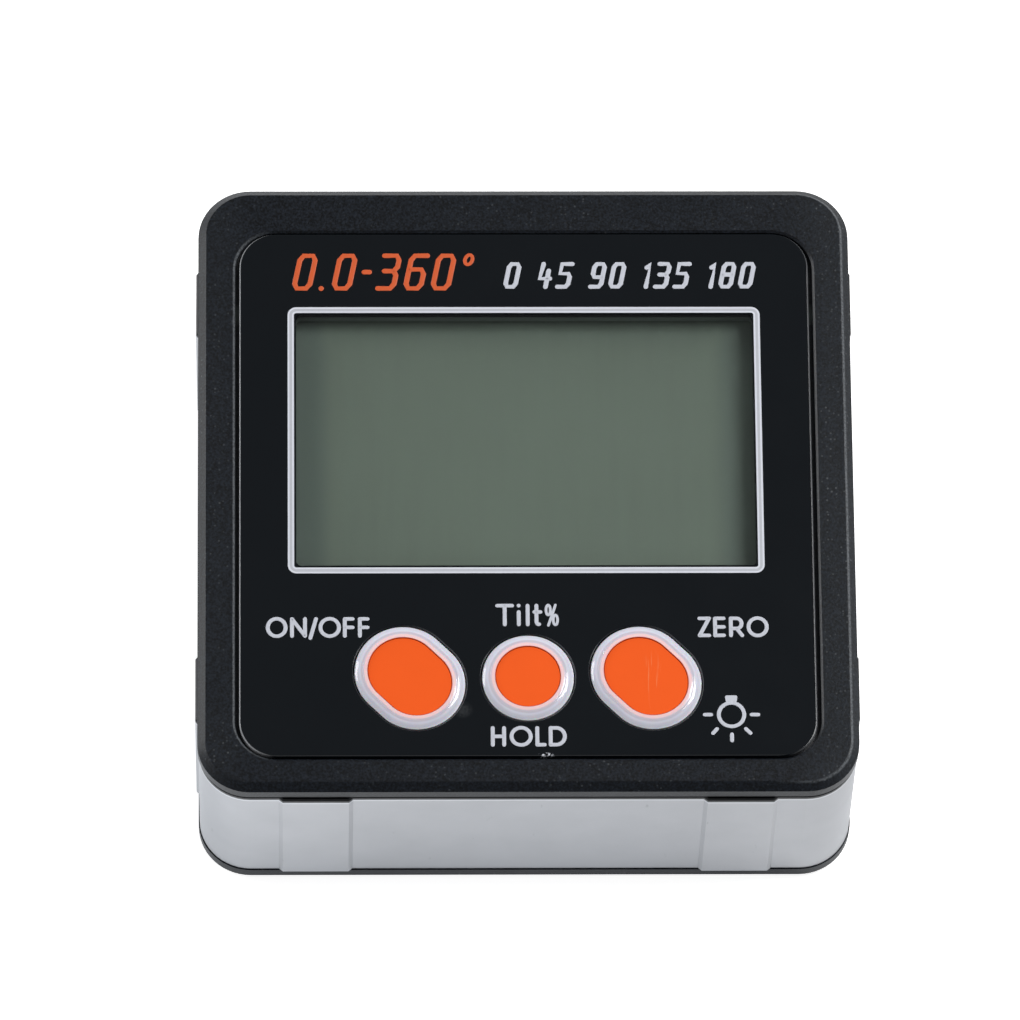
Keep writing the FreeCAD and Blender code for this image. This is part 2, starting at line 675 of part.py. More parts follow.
def build_rear_cover():
    """Bevelled plate with a skirt, screw posts, battery well and magnet holders."""
    body = new_body("rear_cover")
    plate = sketch_at(body, "plate")
    rounded_rectangle(plate, "half_width", "half_height", "corner_radius")
    plate_pad = grow(body, plate, "rear_rim")
    dress(body, "Chamfer", plate_pad, level_edges(plate_pad, "0"), "Size", "cover_bevel")
    skirt = sketch_at(body, "skirt", "rear_rim")
    rounded_rectangle(skirt, "skirt_half_width", "skirt_half_height", "skirt_radius")
    rounded_rectangle(skirt, "hollow_half_width", "hollow_half_height", "hollow_radius")
    grow(body, skirt, "skirt_reach")
    well = sketch_at(body, "well", "rear_rim")
    rectangle(well, "well_out_width", "well_out_length")
    grow(body, well, "well_outside - rear_rim")
    posts = sketch_at(body, "posts", "rear_rim")
    circles_at(COVER_SCREWS, posts, "post_radius")
    grow(body, posts, "post_split - rear_rim")
    shelf_depth = "(skirt_half_height - magnet_back + holder_wall + magnet_gap)"
    shelves = sketch_at(body, "magnet_shelves", "rear_rim")
    ribs = sketch_at(body, "magnet_ribs", "skirt_top")
    for side in SIDES:
        rectangle(
            shelves,
            "magnet_width / 2",
            f"{shelf_depth} / 2",
            f"{side} * magnet_x",
            f"0 - skirt_half_height + {shelf_depth} / 2",
        )
        rectangle(
            ribs,
            "magnet_width / 2",
            "holder_wall / 2",
            f"{side} * magnet_x",
            "0 - magnet_back + magnet_gap + holder_wall / 2",
        )
    grow(body, shelves, "skirt_reach")
    grow(body, ribs, "holder_rise")
    recess = sketch_at(body, "door_recess")
    door_slot(recess, "door_half_width + door_gap")
    cut(body, recess, "recess_depth", upward=True)
    grooves = sketch_at(body, "door_grooves", "lip_thickness")
    door_slot(grooves, "door_half_width + door_gap + tongue_reach")
    cut(body, grooves, "recess_depth - lip_thickness", upward=True)
    cavity = sketch_at(body, "cavity")
    rectangle(cavity, "well_half_width", "well_half_length")
    cut(body, cavity, "well_ceiling", upward=True)
    shanks = sketch_at(body, "shank_holes")
    circles_at(COVER_SCREWS, shanks, "screw_radius + shank_gap")
    cut(body, shanks, "post_split", upward=True)
    heads = sketch_at(body, "head_holes")
    circles_at(COVER_SCREWS, heads, "head_radius + head_gap")
    cut(body, heads, "head_sink", upward=True)
    slots = sketch_at(body, "tail_slots", "well_ceiling")
    tail_rectangles(slots)
    cut(body, slots, "well_wall", upward=True)


def door_slot(sketch, half_width):
    """Outline of the door's way, open at the top side."""
    low, high = "0 - door_end - door_gap", "half_height + overrun"
    left, right = f"0 - ({half_width})", half_width
    polygon(sketch, ((left, low), (right, low), (right, high), (left, high)))


def tail_rectangles(sketch):
    """Outlines of the two slots for the contacts' solder tails."""
    for side in SIDES:
        rectangle(
            sketch,
            "tail_width / 2 + tail_gap",
            "contact_thickness / 2 + tail_gap",
            f"{side} * battery_x",
            "well_half_length - contact_thickness / 2",
        )


def build_battery_door():
    """A plate with a tongue along each side, a bevelled end and thumb grooves."""
    body = new_body("battery_door")
    plate = sketch_at(body, "plate")
    low, high = "0 - door_end", "half_height"
    polygon(plate, [
        (f"{side} * door_half_width", end)
        for side, end in ((-1, low), (1, low), (1, high), (-1, high))
    ])
    plate_pad = grow(body, plate, "door_thickness")
    top_side = number("half_height")
    end_edges = [
        name
        for name in level_edges(plate_pad, "0")
        if abs(plate_pad.Shape.getElement(name).BoundBox.YMin - top_side) < NEAR
    ]
    dress(body, "Chamfer", plate_pad, end_edges, "Size", "cover_bevel - door_sink")
    tongues = sketch_at(body, "tongues", "tongue_floor - door_sink")
    reach = "(door_half_width + tongue_reach)"
    polygon(tongues, [
        (f"{side} * {reach}", end)
        for side, end in ((-1, low), (1, low), (1, high), (-1, high))
    ])
    grow(body, tongues, "door_top - tongue_floor")
    groove = sketch_at(body, "thumb_groove")
    rectangle(groove, "grip_width / 2", "grip_groove / 2", "0", "half_height - grip_inset")
    groove_cut = cut(body, groove, "grip_depth", upward=True)
    grooves = body.newObject("PartDesign::LinearPattern", "thumb_grooves")
    grooves.Originals = [groove_cut]
    grooves.Direction = (groove, ["V_Axis"])
    grooves.Reversed = True
    grooves.Occurrences = GROOVE_COUNT
    bind(grooves, "Length", f"grip_pitch * {GROOVE_COUNT - 1}")
    body.Tip = grooves
    stand(body, z="door_sink")


# The face

def build_face_panel():
    """A thin plate with rounded edges, the window opening and the key holes."""
    body = new_body("face_panel")
    plate = sketch_at(body, "plate")
    rounded_rectangle(
        plate, "panel_half_width", "panel_half_height", "panel_radius", "0 - panel_drop"
    )
    plate_pad = grow(body, plate, "panel_thickness")
    edges = level_edges(plate_pad, "panel_thickness")
    dress(body, "Fillet", plate_pad, edges, "Radius", "panel_edge")
    openings = sketch_at(body, "openings", "panel_thickness")
    rounded_rectangle(
        openings, "window_half_width", "window_half_height", "window_radius", "window_rise"
    )
    all_key_outlines(openings, "key_gap")
    holed = cut(body, openings, "panel_thickness")
    # the key holes' edges alone, under the middle of the black between display and keys
    edges = level_edges(
        holed,
        "panel_thickness",
        "key_pitch + key_reach + key_gap",
        "key_drop + key_reach + key_gap",
        "window_low - window_border_low / 2",
    )
    dress(body, "Chamfer", holed, edges, "Size", "hole_edge")
    stand(body, z="recess_floor")


def build_window():
    """A clear plate that fills the opening, with a flange held under the panel."""
    body = new_body("display_window")
    flange = sketch_at(body, "flange")
    rounded_rectangle(
        flange,
        "window_half_width + lens_reach - lens_gap",
        "window_half_height + lens_reach - lens_gap",
        "window_radius + lens_reach",
    )
    grow(body, flange, "lens_flange")
    face = sketch_at(body, "face", "lens_flange")
    rounded_rectangle(
        face, "window_half_width - lens_gap", "window_half_height - lens_gap", "window_radius"
    )
    grow(body, face, "panel_thickness")
    stand(body, y="window_rise", z="flange_floor")


def build_key(name, side):
    """A cap with a flange, a stem and a rounded rim round a pocket."""
    body = new_body("key_" + name)
    flange = sketch_at(body, "flange", "0 - key_flange")
    key_outline(flange, side, "key_flange_reach")
    grow(body, flange, "key_flange")
    shaft = sketch_at(body, "shaft")
    key_outline(shaft, side, "0")
    shaft_pad = grow(body, shaft, "key_top - cover_inside")
    edges = level_edges(shaft_pad, "key_top - cover_inside")
    dress(body, "Fillet", shaft_pad, edges, "Radius", "key_edge")
    pocket = sketch_at(body, "pocket", "key_top - cover_inside")
    key_outline(pocket, side, "0 - key_ring")
    cut(body, pocket, "inlay_sink + inlay_depth")
    stem = sketch_at(body, "stem", "plunger_top - cover_inside")
    circle(stem, "key_stem_radius")
    grow(body, stem, "cover_inside - key_flange - plunger_top")
    stand(body, f"{side} * key_pitch", "0 - key_drop", "cover_inside")


def build_key_face(name, side):
    """The orange plate in a key's pocket."""
    body = new_body("key_face_" + name)
    plate = sketch_at(body, "plate")
    key_outline(plate, side, "0 - key_ring - inlay_gap")
    grow(body, plate, "inlay_depth")
    stand(
        body, f"{side} * key_pitch", "0 - key_drop", "key_top - inlay_sink - inlay_depth"
    )


# Push switches

def build_switch(name, side):
    """Base with a bore, cover plate with a hole, and the plunger in both."""
    x, y = f"{side} * key_pitch", "0 - key_drop"
    base = new_body("switch_base_" + name)
    square = sketch_at(base, "square")
    rectangle(square, "switch_width / 2", "switch_width / 2")
    grow(base, square, "switch_base")
    bore = sketch_at(base, "bore", "switch_base")
    circle(bore, "plunger_radius + plunger_gap")
    cut(base, bore, "switch_base - switch_floor")
    stand(base, x, y, "board_front")
    plate = new_body("switch_plate_" + name)
    sheet_outline = sketch_at(plate, "square")
    rectangle(sheet_outline, "switch_width / 2", "switch_width / 2")
    circle(sheet_outline, "plunger_radius + plunger_gap")
    grow(plate, sheet_outline, "switch_plate")
    stand(plate, x, y, "board_front + switch_base")
    plunger = doc.addObject("Part::Cylinder", "switch_plunger_" + name)
    plunger.Label = "switch_plunger_" + name
    bind(plunger, "Radius", "plunger_radius")
    bind(plunger, "Height", "plunger_rise + switch_plate + plunger_sunk")
    stand(plunger, x, y, "plate_top - switch_plate - plunger_sunk")
    pieces.append(plunger)


# Display

def build_display():
    """Films, glasses, light guide, lamp, frame, contact strips and gasket."""
    width = "2 * glass_half_width"
    block(
        "front_polariser",
        "2 * (window_half_width + film_border)",
        "2 * (window_half_height + film_border)",
        "film_thickness",
        y="window_rise",
        z="glass_front",
    )
    block("front_glass", width, "2 * front_glass_half", "glass_thickness",
          y="window_rise", z="glass_seam")
    for label, thickness, height in (
        ("rear_glass", "glass_thickness", "glass_rear"),
        ("rear_polariser", "film_thickness", "guide_front"),
        ("light_guide", "guide_thickness", "guide_rear"),
        ("reflector_film", "film_thickness", "board_front"),
    ):
        block(label, width, "2 * rear_glass_half", thickness, y="window_rise", z=height)
    for label, way in (("contact_strip_lower", "-1"), ("contact_strip_upper", "1")):
        block(
            label,
            "2 * window_half_width",
            "strip_width",
            "glass_seam - board_front",
            y=f"window_rise + {way} * (rear_glass_half + glass_ledge / 2)",
            z="board_front",
        )
    frame = new_body("display_frame")
    wall = sketch_at(frame, "wall")
    rectangle(wall, "frame_out_width", "frame_out_height")
    rectangle(wall, "frame_in_width", "frame_in_height")
    grow(frame, wall, "glass_front - board_front")
    notch = sketch_at(frame, "lamp_notch")
    rectangle(
        notch,
        "frame_wall / 2 + frame_gap",
        "lamp_width / 2 + frame_gap",
        "frame_in_width + frame_wall / 2",
    )
    cut(frame, notch, "lamp_height + frame_gap", upward=True)
    stand(frame, y="window_rise", z="board_front")
    block(
        "backlight_lamp",
        "frame_wall",
        "lamp_width",
        "lamp_height",
        x="frame_in_width + frame_wall / 2",
        y="window_rise",
        z="board_front",
    )
    gasket = new_body("display_gasket")
    ring = sketch_at(gasket, "ring")
    rectangle(ring, "frame_out_width", "frame_out_height")
    rectangle(ring, "window_half_width + gasket_border", "window_half_height + gasket_border")
    grow(gasket, ring, "gasket_thickness")
    stand(gasket, y="window_rise", z="glass_front")


# Circuit board and what is on its rear face

def build_main_board():
    """A plate with notched corners, screw holes and slots for the solder tails."""
    body = new_body("main_board")
    outline = sketch_at(body, "outline")
    quarter = (
        ("notch_x", "board_half_height"),
        ("notch_x", "notch_y"),
        ("board_half_width", "notch_y"),
    )
    corners = []
    for across, up in ((-1, -1), (1, -1), (1, 1), (-1, 1)):
        turn = [(f"{across} * {x}", f"{up} * {y}") for x, y in quarter]
        corners += turn if across * up < 0 else turn[::-1]
    polygon(outline, corners)
    grow(body, outline, "board_thickness")
    holes = sketch_at(body, "screw_holes", "board_thickness")
    circles_at(BOARD_SCREWS, holes, "board_screw_radius + shank_gap")
    cut(body, holes, "board_thickness")
    slots = sketch_at(body, "tail_slots", "board_thickness")
    tail_rectangles(slots)
    cut(body, slots, "board_thickness")
    stand(body, z="board_rear")


def board_spot(shares):
    """A place on the board beside the battery well."""
    across, up = shares
    side = "0 - well_out_width" if across < 0 else "well_out_width"
    x = f"{side} + {across} * (board_half_width - well_out_width)"
    return x, f"{up} * board_half_height"


def build_moulded_chip(label, length, width, height, shares):
    """A moulded chip that hangs from the board's rear face, with chamfered lower edges."""
    body = new_body(label)
    outline = sketch_at(body, "outline")
    rectangle(outline, f"{length} / 2", f"{width} / 2")
    case = grow(body, outline, height)
    dress(body, "Chamfer", case, level_edges(case, "0"), "Size", "chip_edge")
    x, y = board_spot(shares)
    stand(body, x, y, f"board_rear - {height}")


def build_board_parts():
    """Controller, tilt sensor, regulator, crystal, capacitors and resistors."""
    build_moulded_chip(
        "controller_chip", "chip_width", "chip_width", "chip_height", CONTROLLER_SHARES
    )
    build_moulded_chip(
        "tilt_sensor", "sensor_width", "sensor_width", "sensor_height", SENSOR_SHARES
    )
    build_moulded_chip(
        "voltage_regulator",
        "regulator_width",
        "regulator_length",
        "regulator_height",
        REGULATOR_SHARES,
    )
    crystal = doc.addObject("Part::Cylinder", "crystal")
    crystal.Placement.Rotation = FreeCAD.Rotation(FreeCAD.Vector(0, 1, 0), QUARTER_TURN)
    bind(crystal, "Radius", "crystal_radius")
    bind(crystal, "Height", "crystal_length")
    x, y = board_spot(CRYSTAL_SHARES)
    stand(crystal, f"{x} - crystal_length / 2", y, "board_rear - crystal_radius")
    pieces.append(crystal)
    for family, spots in (("capacitor", CAPACITOR_SHARES), ("resistor", RESISTOR_SHARES)):
        for index, shares in enumerate(spots, start=1):
            x, y = board_spot(shares)
            block(
                f"{family}_{index}",
                family + "_length",
                family + "_width",
                family + "_height",
                x,
                y,
                f"board_rear - {family}_height",
            )


# Batteries and their contacts

def turned(body, quarter_turns):
    """Turns a piece built along +Z so that it lies along Y."""
    turn = FreeCAD.Rotation(FreeCAD.Vector(1, 0, 0), quarter_turns * QUARTER_TURN)
    body.Placement = FreeCAD.Placement(FreeCAD.Vector(), turn)


def build_battery(label, side):
    """A cell with rounded ends and a nub, its plus end up the page on the left."""
    body = new_body(label)
    case = sketch_at(body, "case")
    circle(case, "battery_diameter / 2")
    case_pad = grow(body, case, "battery_length - nub_rise")
    edges = level_edges(case_pad, "0") + level_edges(case_pad, "battery_length - nub_rise")
    dress(body, "Fillet", case_pad, edges, "Radius", "battery_edge")
    nub = sketch_at(body, "nub", "battery_length - nub_rise")
    circle(nub, "nub_radius")
    grow(body, nub, "nub_rise")
    turned(body, side)
    stand(body, f"{side} * battery_x", f"{side} * (contact_face - spring_length)", "battery_z")


def build_contact(label, side):
    """A flat contact at the top end with a solder tail through to the board."""
    body = new_body(label)
    outline = sketch_at(body, "outline", role="XZ_Plane")
    wide, tail = "contact_width / 2", "tail_width / 2"
    tip = "board_front + tail_rise - battery_z"
    polygon(outline, (
        (f"0 - {wide}", f"0 - {wide}"),
        (wide, f"0 - {wide}"),
        (wide, wide),
        (tail, wide),
        (tail, tip),
        (f"0 - {tail}", tip),
        (f"0 - {tail}", wide),
        (f"0 - {wide}", wide),
    ))
    grow(body, outline, "contact_thickness")
    stand(body, f"{side} * battery_x", "well_half_length", "battery_z")


def build_bridge_contact():
    """A flat contact at the lower end that joins both cells."""
    block(
        "bridge_contact",
        "contact_width + 2 * battery_x",
        "contact_thickness",
        "contact_width",
        y="0 - well_half_length + contact_thickness / 2",
        z="battery_z - contact_width / 2",
    )


def arc_to(start, corner, end):
    """The arc from start to end whose tangents meet at corner."""
    middle = (start + end) / 2
    half_chord = (end - start).Length / 2
    bend = math.acos(half_chord / (corner - start).Length)
    bulge = (corner - middle).normalize() * half_chord * math.tan(bend / 2)
    return Part.Arc(start, middle + bulge, end).toShape()


def two_arcs(start, leaving, end, arriving):
    """Two arcs that join two points and keep the direction at both."""
    across = end - start
    bend = 2 * leaving.dot(arriving) - 2
    slope = -2 * across.dot(leaving + arriving)
    reach = (-slope - math.sqrt(slope**2 - 4 * bend * across.dot(across))) / (2 * bend)
    first, second = start + leaving * reach, end - arriving * reach
    join = (first + second) / 2
    return [arc_to(start, first, join), arc_to(join, second, end)]


def build_contact_spring(label, side):
    """A conical coil of round wire, its wide end on the contact."""
    radius, wire, turns = number("spring_radius"), number("wire_radius"), number("spring_turns")
    rise = number("spring_length - 2 * (wire_radius + thread_gap)")
    narrowing = rise * math.tan(math.radians(number("spring_cone")))
    lift = number("wire_radius + thread_gap")
    quarters = round(4 * turns)
    whole = math.pi / 2 * quarters
    spots, directions = [], []
    for quarter in range(quarters + 1):
        angle = math.pi / 2 * quarter
        here = radius - narrowing * angle / whole
        outward = FreeCAD.Vector(math.cos(angle), math.sin(angle), 0)
        onward = FreeCAD.Vector(-math.sin(angle), math.cos(angle), 0)
        spots.append(outward * here + UP * (lift + rise * angle / whole))
        directions.append(
            (onward * here - outward * (narrowing / whole) + UP * (rise / whole)).normalize()
        )
    ring = Part.Circle(spots[0], directions[0], wire).toShape()
    skins = [Part.Face(Part.Wire(ring))]
    for index in range(quarters):
        following = index + 1
        for arc in two_arcs(
            spots[index], directions[index], spots[following], directions[following]
        ):
            turn = math.degrees(arc.LastParameter - arc.FirstParameter)
            skins.append(ring.revolve(arc.Curve.Center, arc.Curve.Axis, turn))
            ring = ring.rotated(arc.Curve.Center, arc.Curve.Axis, turn)
    skins.append(Part.Face(Part.Wire(ring)))
    shell = Part.makeShell(skins)
    shell.sewShape()
    spring = doc.addObject("Part::Feature", label)
    spring.Shape = Part.makeSolid(shell)
    turned(spring, side)
    stand(spring, f"{side} * battery_x", f"{side} * contact_face", "battery_z")
    pieces.append(spring)


# Magnets and screws

def build_magnet(label, side):
    """A plated block between the band's wall and its holder."""
    body = new_body(label)
    outline = sketch_at(body, "outline")
    rectangle(outline, "magnet_width / 2", "magnet_thickness / 2")
    case = grow(body, outline, "magnet_height")
    edges = [f"Edge{index}" for index in range(1, len(case.Shape.Edges) + 1)]
    dress(body, "Fillet", case, edges, "Radius", "magnet_edge")
    middle = "0 - bore_half_height + magnet_thickness / 2"
    stand(body, f"{side} * magnet_x", middle, "skirt_top")


def build_screws(label, spots, seat, shank, length, head, height):
    """Four like screws that point forwards, each with a cross in its head."""
    body = new_body(label)
    heads = sketch_at(body, "heads", f"{seat} - {height}")
    circles_at(spots, heads, head)
    grow(body, heads, height)
    shanks = sketch_at(body, "shanks", seat)
    circles_at(spots, shanks, shank)
    grow(body, shanks, length)
    for name, cross in (("cross_along_x", (1, 0)), ("cross_along_y", (0, 1))):
        arms = sketch_at(body, name, f"{seat} - {height}")
        long_half = f"({head} * cross_reach_share)"
        wide = long_half if cross == (1, 0) else "cross_width / 2"
        tall = long_half if cross == (0, 1) else "cross_width / 2"
        for x, y in spots:
            rectangle(arms, wide, tall, x, y)
        cut(body, arms, "cross_depth", upward=True)


build_metal_band()
build_front_cover()
build_rear_cover()
build_battery_door()
build_face_panel()
build_window()
for key_name, key_side in KEYS:
    build_key(key_name, key_side)
    build_key_face(key_name, key_side)
    build_switch(key_name, key_side)
build_display()
build_main_board()
build_board_parts()
build_battery("battery_left", -1)
build_battery("battery_right", 1)
build_contact("plus_contact", -1)
build_contact("minus_contact", 1)
build_bridge_contact()
build_contact_spring("bridge_spring", -1)
build_contact_spring("minus_spring", 1)
build_magnet("magnet_left", -1)
build_magnet("magnet_right", 1)
build_screws(
    "cover_screws",
    COVER_SCREWS,
    "head_sink",
    "screw_radius",
    "screw_length",
    "head_radius",
    "head_height",
)
build_screws(
    "board_screws",
    BOARD_SCREWS,
    "board_rear",
    "board_screw_radius",
    "board_screw_length",
    "board_head_radius",
    "board_head_height",
)
doc.recompute()

# Checks before anything is written

for thing in doc.Objects:
    if {"Invalid", "Error"} & set(thing.State):
        raise RuntimeError(f"{thing.Name} could not be built: {thing.State}")
for piece in pieces:
    if piece.Shape.isNull() or not piece.Shape.isValid():
        raise RuntimeError(f"{piece.Label} has no valid shape")

os.makedirs("parts", exist_ok=True)
for piece in pieces:
    piece.Shape.exportStep(f"parts/{piece.Label}.step")
    print(piece.Label, len(piece.Shape.Solids), round(piece.Shape.Volume, 2))
print(len(pieces), "pieces")
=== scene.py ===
import math

import bpy
from bpy.props import FloatProperty, FloatVectorProperty, PointerProperty
from bpy.types import Operator, Panel, PropertyGroup
from mathutils import Matrix, Vector


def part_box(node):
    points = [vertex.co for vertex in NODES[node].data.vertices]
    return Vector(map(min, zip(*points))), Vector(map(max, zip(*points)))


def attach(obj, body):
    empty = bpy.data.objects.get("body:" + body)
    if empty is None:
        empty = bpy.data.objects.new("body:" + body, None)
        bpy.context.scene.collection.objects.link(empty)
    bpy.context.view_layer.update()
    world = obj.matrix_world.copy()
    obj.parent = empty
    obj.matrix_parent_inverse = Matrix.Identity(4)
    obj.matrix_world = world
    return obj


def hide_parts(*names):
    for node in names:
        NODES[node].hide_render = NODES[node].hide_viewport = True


bl_info = {
    "name": "Pocket inclinometer",
    "version": (1, 0, 0),
    "blender": (4, 5, 0),
    "location": "3D View > Sidebar > Inclinometer",
    "description": "Dresses the packed CAD model of a square pocket inclinometer",
    "category": "Object",
}

MM = 0.001
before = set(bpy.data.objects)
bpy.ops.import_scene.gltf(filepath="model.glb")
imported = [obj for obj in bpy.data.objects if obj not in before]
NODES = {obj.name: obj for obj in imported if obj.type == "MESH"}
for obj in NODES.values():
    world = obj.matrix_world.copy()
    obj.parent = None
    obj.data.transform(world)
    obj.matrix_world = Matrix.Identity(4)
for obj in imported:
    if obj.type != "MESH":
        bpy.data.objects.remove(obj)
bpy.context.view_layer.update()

# Places read from the frame, and sizes that the solids share, in metres

PANEL_LOW, PANEL_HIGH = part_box("face_panel")
WINDOW_LOW, WINDOW_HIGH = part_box("display_window")
KEY_NAMES = ("on_off", "hold", "zero")
FACE_SURFACE = PANEL_HIGH.z

# Keys: outside radius and half length of the straight part along X and Y, as in the solids
KEY_SIZES = {
    "on_off": (4.42 * MM, 0.6 * MM), "hold": (4.16 * MM, 0.0), "zero": (4.42 * MM, 0.6 * MM),
}
KEY_RING, KEY_STEM = 1.23 * MM, 1.5 * MM
KEY_FLANGE, KEY_FLANGE_REACH = 0.8 * MM, 0.5 * MM
COVER_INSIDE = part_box("display_gasket")[1].z
# The rim ends this far below the face's upper side, and points this near count as the same
FACE_GAP, NEAR = 0.02 * MM, 0.1 * MM

# The ridge inside the front cover's bevel, and the edge of the recess round the panel
COVER_LOW, COVER_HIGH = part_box("front_cover")
RIDGE_INSET, RIDGE_CORNER = 0.67 * MM, 4.13 * MM
LIP_LOW = PANEL_LOW - Vector((0.49, 0.36, 0.0)) * MM
LIP_HIGH = PANEL_HIGH + Vector((0.49, 0.18, 0.0)) * MM
LIP_CORNER = 3.89 * MM
# how far the painted highlight reaches beside these edges
HIGHLIGHT_REACH = 0.15 * MM
BAND_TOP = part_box("metal_band")[1].z
# The painted highlight line along the groove under the cover's skirt, this far below the band's
# upper end
HIGHLIGHT_DEPTH = 0.68 * MM

# The window's flange reaches this far past the display's opening, less its own gap
FLANGE = Vector((0.96, 0.96, 0.0)) * MM
OPENING_LOW, OPENING_HIGH = WINDOW_LOW + FLANGE, WINDOW_HIGH - FLANGE

# Soft spots, in millimetres: the middle and the reach of each
# the painted light from the display on the wall at the head of the window's opening
HEAD_WALL = ((0.0, 17.5, 19.9), (44.0, 2.0, 1.6))
RUBBED_SPOT = ((11.3, -19.3, 21.8), (1.0, 3.2, 4.0))
# and of the panel's flaws, with the two ends of their grain and how much shows at each
NICK = ((1.58, -26.62, 21.5), (0.8, 0.24, 1.5), 0.5, 0.56, 0.0, 1.0)
SMEAR = ((-5.95, -22.2, 21.5), (1.0, 0.9, 2.0), 0.3, 0.7, 0.03, 0.1)


def linear(code):
    """An sRGB hex colour as linear red, green and blue."""
    shares = [int(code[start:start + 2], 16) / 255 for start in (0, 2, 4)]
    return [
        share / 12.92 if share <= 0.04045 else ((share + 0.055) / 1.055) ** 2.4
        for share in shares
    ]


def colour_setting(label, note, code):
    """A colour that a user can change."""
    return FloatVectorProperty(
        name=label, description=note, subtype="COLOR", size=3, min=0, max=1,
        default=linear(code),
    )


def length_setting(label, note, millimetres):
    """A length that a user can change, in metres."""
    return FloatProperty(
        name=label, description=note, subtype="DISTANCE", unit="LENGTH", precision=6,
        default=millimetres * MM,
    )


class FinishSettings(PropertyGroup):
    """Colours of the finishes that show."""

    cover: colour_setting("Cover", "Moulded ABS of the covers and the battery door", "12161c")
    cover_speck: colour_setting("Cover specks", "Fine dust and specks on the cover", "4c4f52")
    # painted light on the wall at the head of the window
    head_wall_light: colour_setting("Painted wall light", "Painted light at the head of the window", "68726e")
    # painted highlight on the front cover's edges
    edge_highlight: colour_setting("Edge highlight", "Painted highlight on the edges of the front cover", "6b6f73")
    # painted highlight on the panel's cut edges
    panel_edge_highlight: colour_setting("Panel edge highlight", "Painted highlight on the cut edges of the face panel", "c4c6ca")
    panel: colour_setting("Panel", "Glossy face panel", "090e13")
    smear: colour_setting("Smear", "Wiped smear on the panel", "8c8f92")
    band: colour_setting("Band", "Satin anodised aluminium", "b6b7ba")
    # painted shade on the cut ends
    shaded_sawn_end: colour_setting("Shaded sawn end", "Painted shade on the cut ends of the band and its pads", "3c4042")
    display: colour_setting("Display", "Display that is switched off", "546256")
    # painted shadow of the window's frame on the display
    display_shadow: colour_setting("Display shadow", "Painted shadow on the display's rim, under the glass", "3f4e46")
    rim_outside: colour_setting("Rim outside", "Outer part of a key's rim", "dadae7")
    rim_middle: colour_setting("Rim middle", "Middle of a key's rim", "d3ccd8")
    # painted orange glow on the rim's inner part
    rim_orange_glow: colour_setting("Rim orange glow", "Painted orange glow where the rim meets the face", "ffd8d9")
    key_face: colour_setting("Key face", "Orange key faces", "ff621f")
    rubbed_face: colour_setting("Rubbed face", "Fine lines on the right key", "ff9a66")
    white_ink: colour_setting("White ink", "Labels and numbers", "d0d3dd")
    line_ink: colour_setting("Line ink", "Edges of the frame line", "e2e5ee")
    orange_ink: colour_setting("Orange ink", "Large range numbers", "dd6030")


class PrintSettings(PropertyGroup):
    """Sizes of what is printed on the face."""

    line_width: length_setting("Frame line", "Width of the line round the display", 0.58)
    line_edge: length_setting("Line edge", "Brighter edge of the frame line", 0.17)
    line_left: length_setting("Line left", "Line's middle to the left of the opening's", 0.04)
    line_gap: length_setting("Line gap", "Black between the line and the display", 0.15)
    line_radius: length_setting("Line corner", "Outer corner of the frame line", 0.8)
    ink_height: length_setting("Ink height", "How far ink stands above the panel", 0.012)
    stroke: length_setting("Stroke", "Stroke of the key labels", 0.365)
    number_stroke: length_setting("Number stroke", "Stroke of the small numbers", 0.45)
    bold_stroke: length_setting("Bold stroke", "Stroke of the large numbers", 0.5)


class KeySettings(PropertyGroup):
    """Sizes of a key's rim."""

    crest: length_setting("Crest", "Highest line of the rim, from its outside", 1.19)
    rise: length_setting("Rise", "Height of the rim's curve above its straight wall", 0.46)
    roundness: FloatProperty(
        name="Roundness", description="How far round its curve the rim's flank goes", default=0.8,
        min=0.1, max=0.99,
    )
    groove: length_setting("Groove", "Depth of the fine line in the rim", 0.012)
    groove_place: length_setting("Groove place", "That line, from the rim's outside", 0.74)
    groove_width: length_setting("Groove width", "Width of that line", 0.05)


class InclinometerSettings(PropertyGroup):
    """All that a user can change."""

    finish: PointerProperty(type=FinishSettings)
    prints: PointerProperty(type=PrintSettings)
    keys: PointerProperty(type=KeySettings)


def settings():
    """The present settings."""
    return bpy.context.scene.inclinometer


# Nodes and materials

def wire(tree, target, sockets):
    """Sets a node's sockets, or links them where the value is a socket or another node."""
    for name, value in sockets.items():
        if isinstance(value, bpy.types.Node):
            value = next(socket for socket in value.outputs if socket.enabled)
        if isinstance(value, bpy.types.NodeSocket):
            tree.links.new(value, target.inputs[name])
        else:
            target.inputs[name].default_value = value


def add_node(tree, kind, sockets=None, **choices):
    """Adds a node with its settings and links."""
    made = tree.nodes.new("ShaderNode" + kind)
    for name, value in choices.items():
        setattr(made, name, value)
    wire(tree, made, sockets or {})
    return made


def start_material(name):
    """A material with its node tree and its main shader."""
    material = bpy.data.materials.new(name)
    material.use_nodes = True
    tree = material.node_tree
    return material, tree, tree.nodes["Principled BSDF"]


def per_metre(millimetres):
    """Scale of a pattern whose grain has this size."""
    return 1 / (millimetres * MM)


def opaque(colour):
    """A colour with full alpha."""
    return (*colour, 1.0)


def shaded(colour, share):
    """A colour brightened or darkened by this share, with full alpha."""
    return opaque([part * share for part in colour])


def put_on(material, *names):
    """Gives CAD nodes their finish."""
    for name in names:
        mesh_object = NODES[name]
        mesh_object.data.materials.clear()
        mesh_object.data.materials.append(material)


def patch(tree, place, middle, reach):
    """How much of a soft spot shows: 1 at its middle, 0 from its reach on, in millimetres."""
    spot = add_node(tree, "Mapping", {
        "Vector": place,
        "Location": [-centre / size for centre, size in zip(middle, reach)],
        "Scale": [per_metre(size) for size in reach],
    })
    away = add_node(tree, "VectorMath", {0: spot}, operation="LENGTH")
    return add_node(tree, "MapRange", {
        "Value": away, "From Min": 0.35, "From Max": 1.0, "To Min": 1.0, "To Max": 0.0,
    })


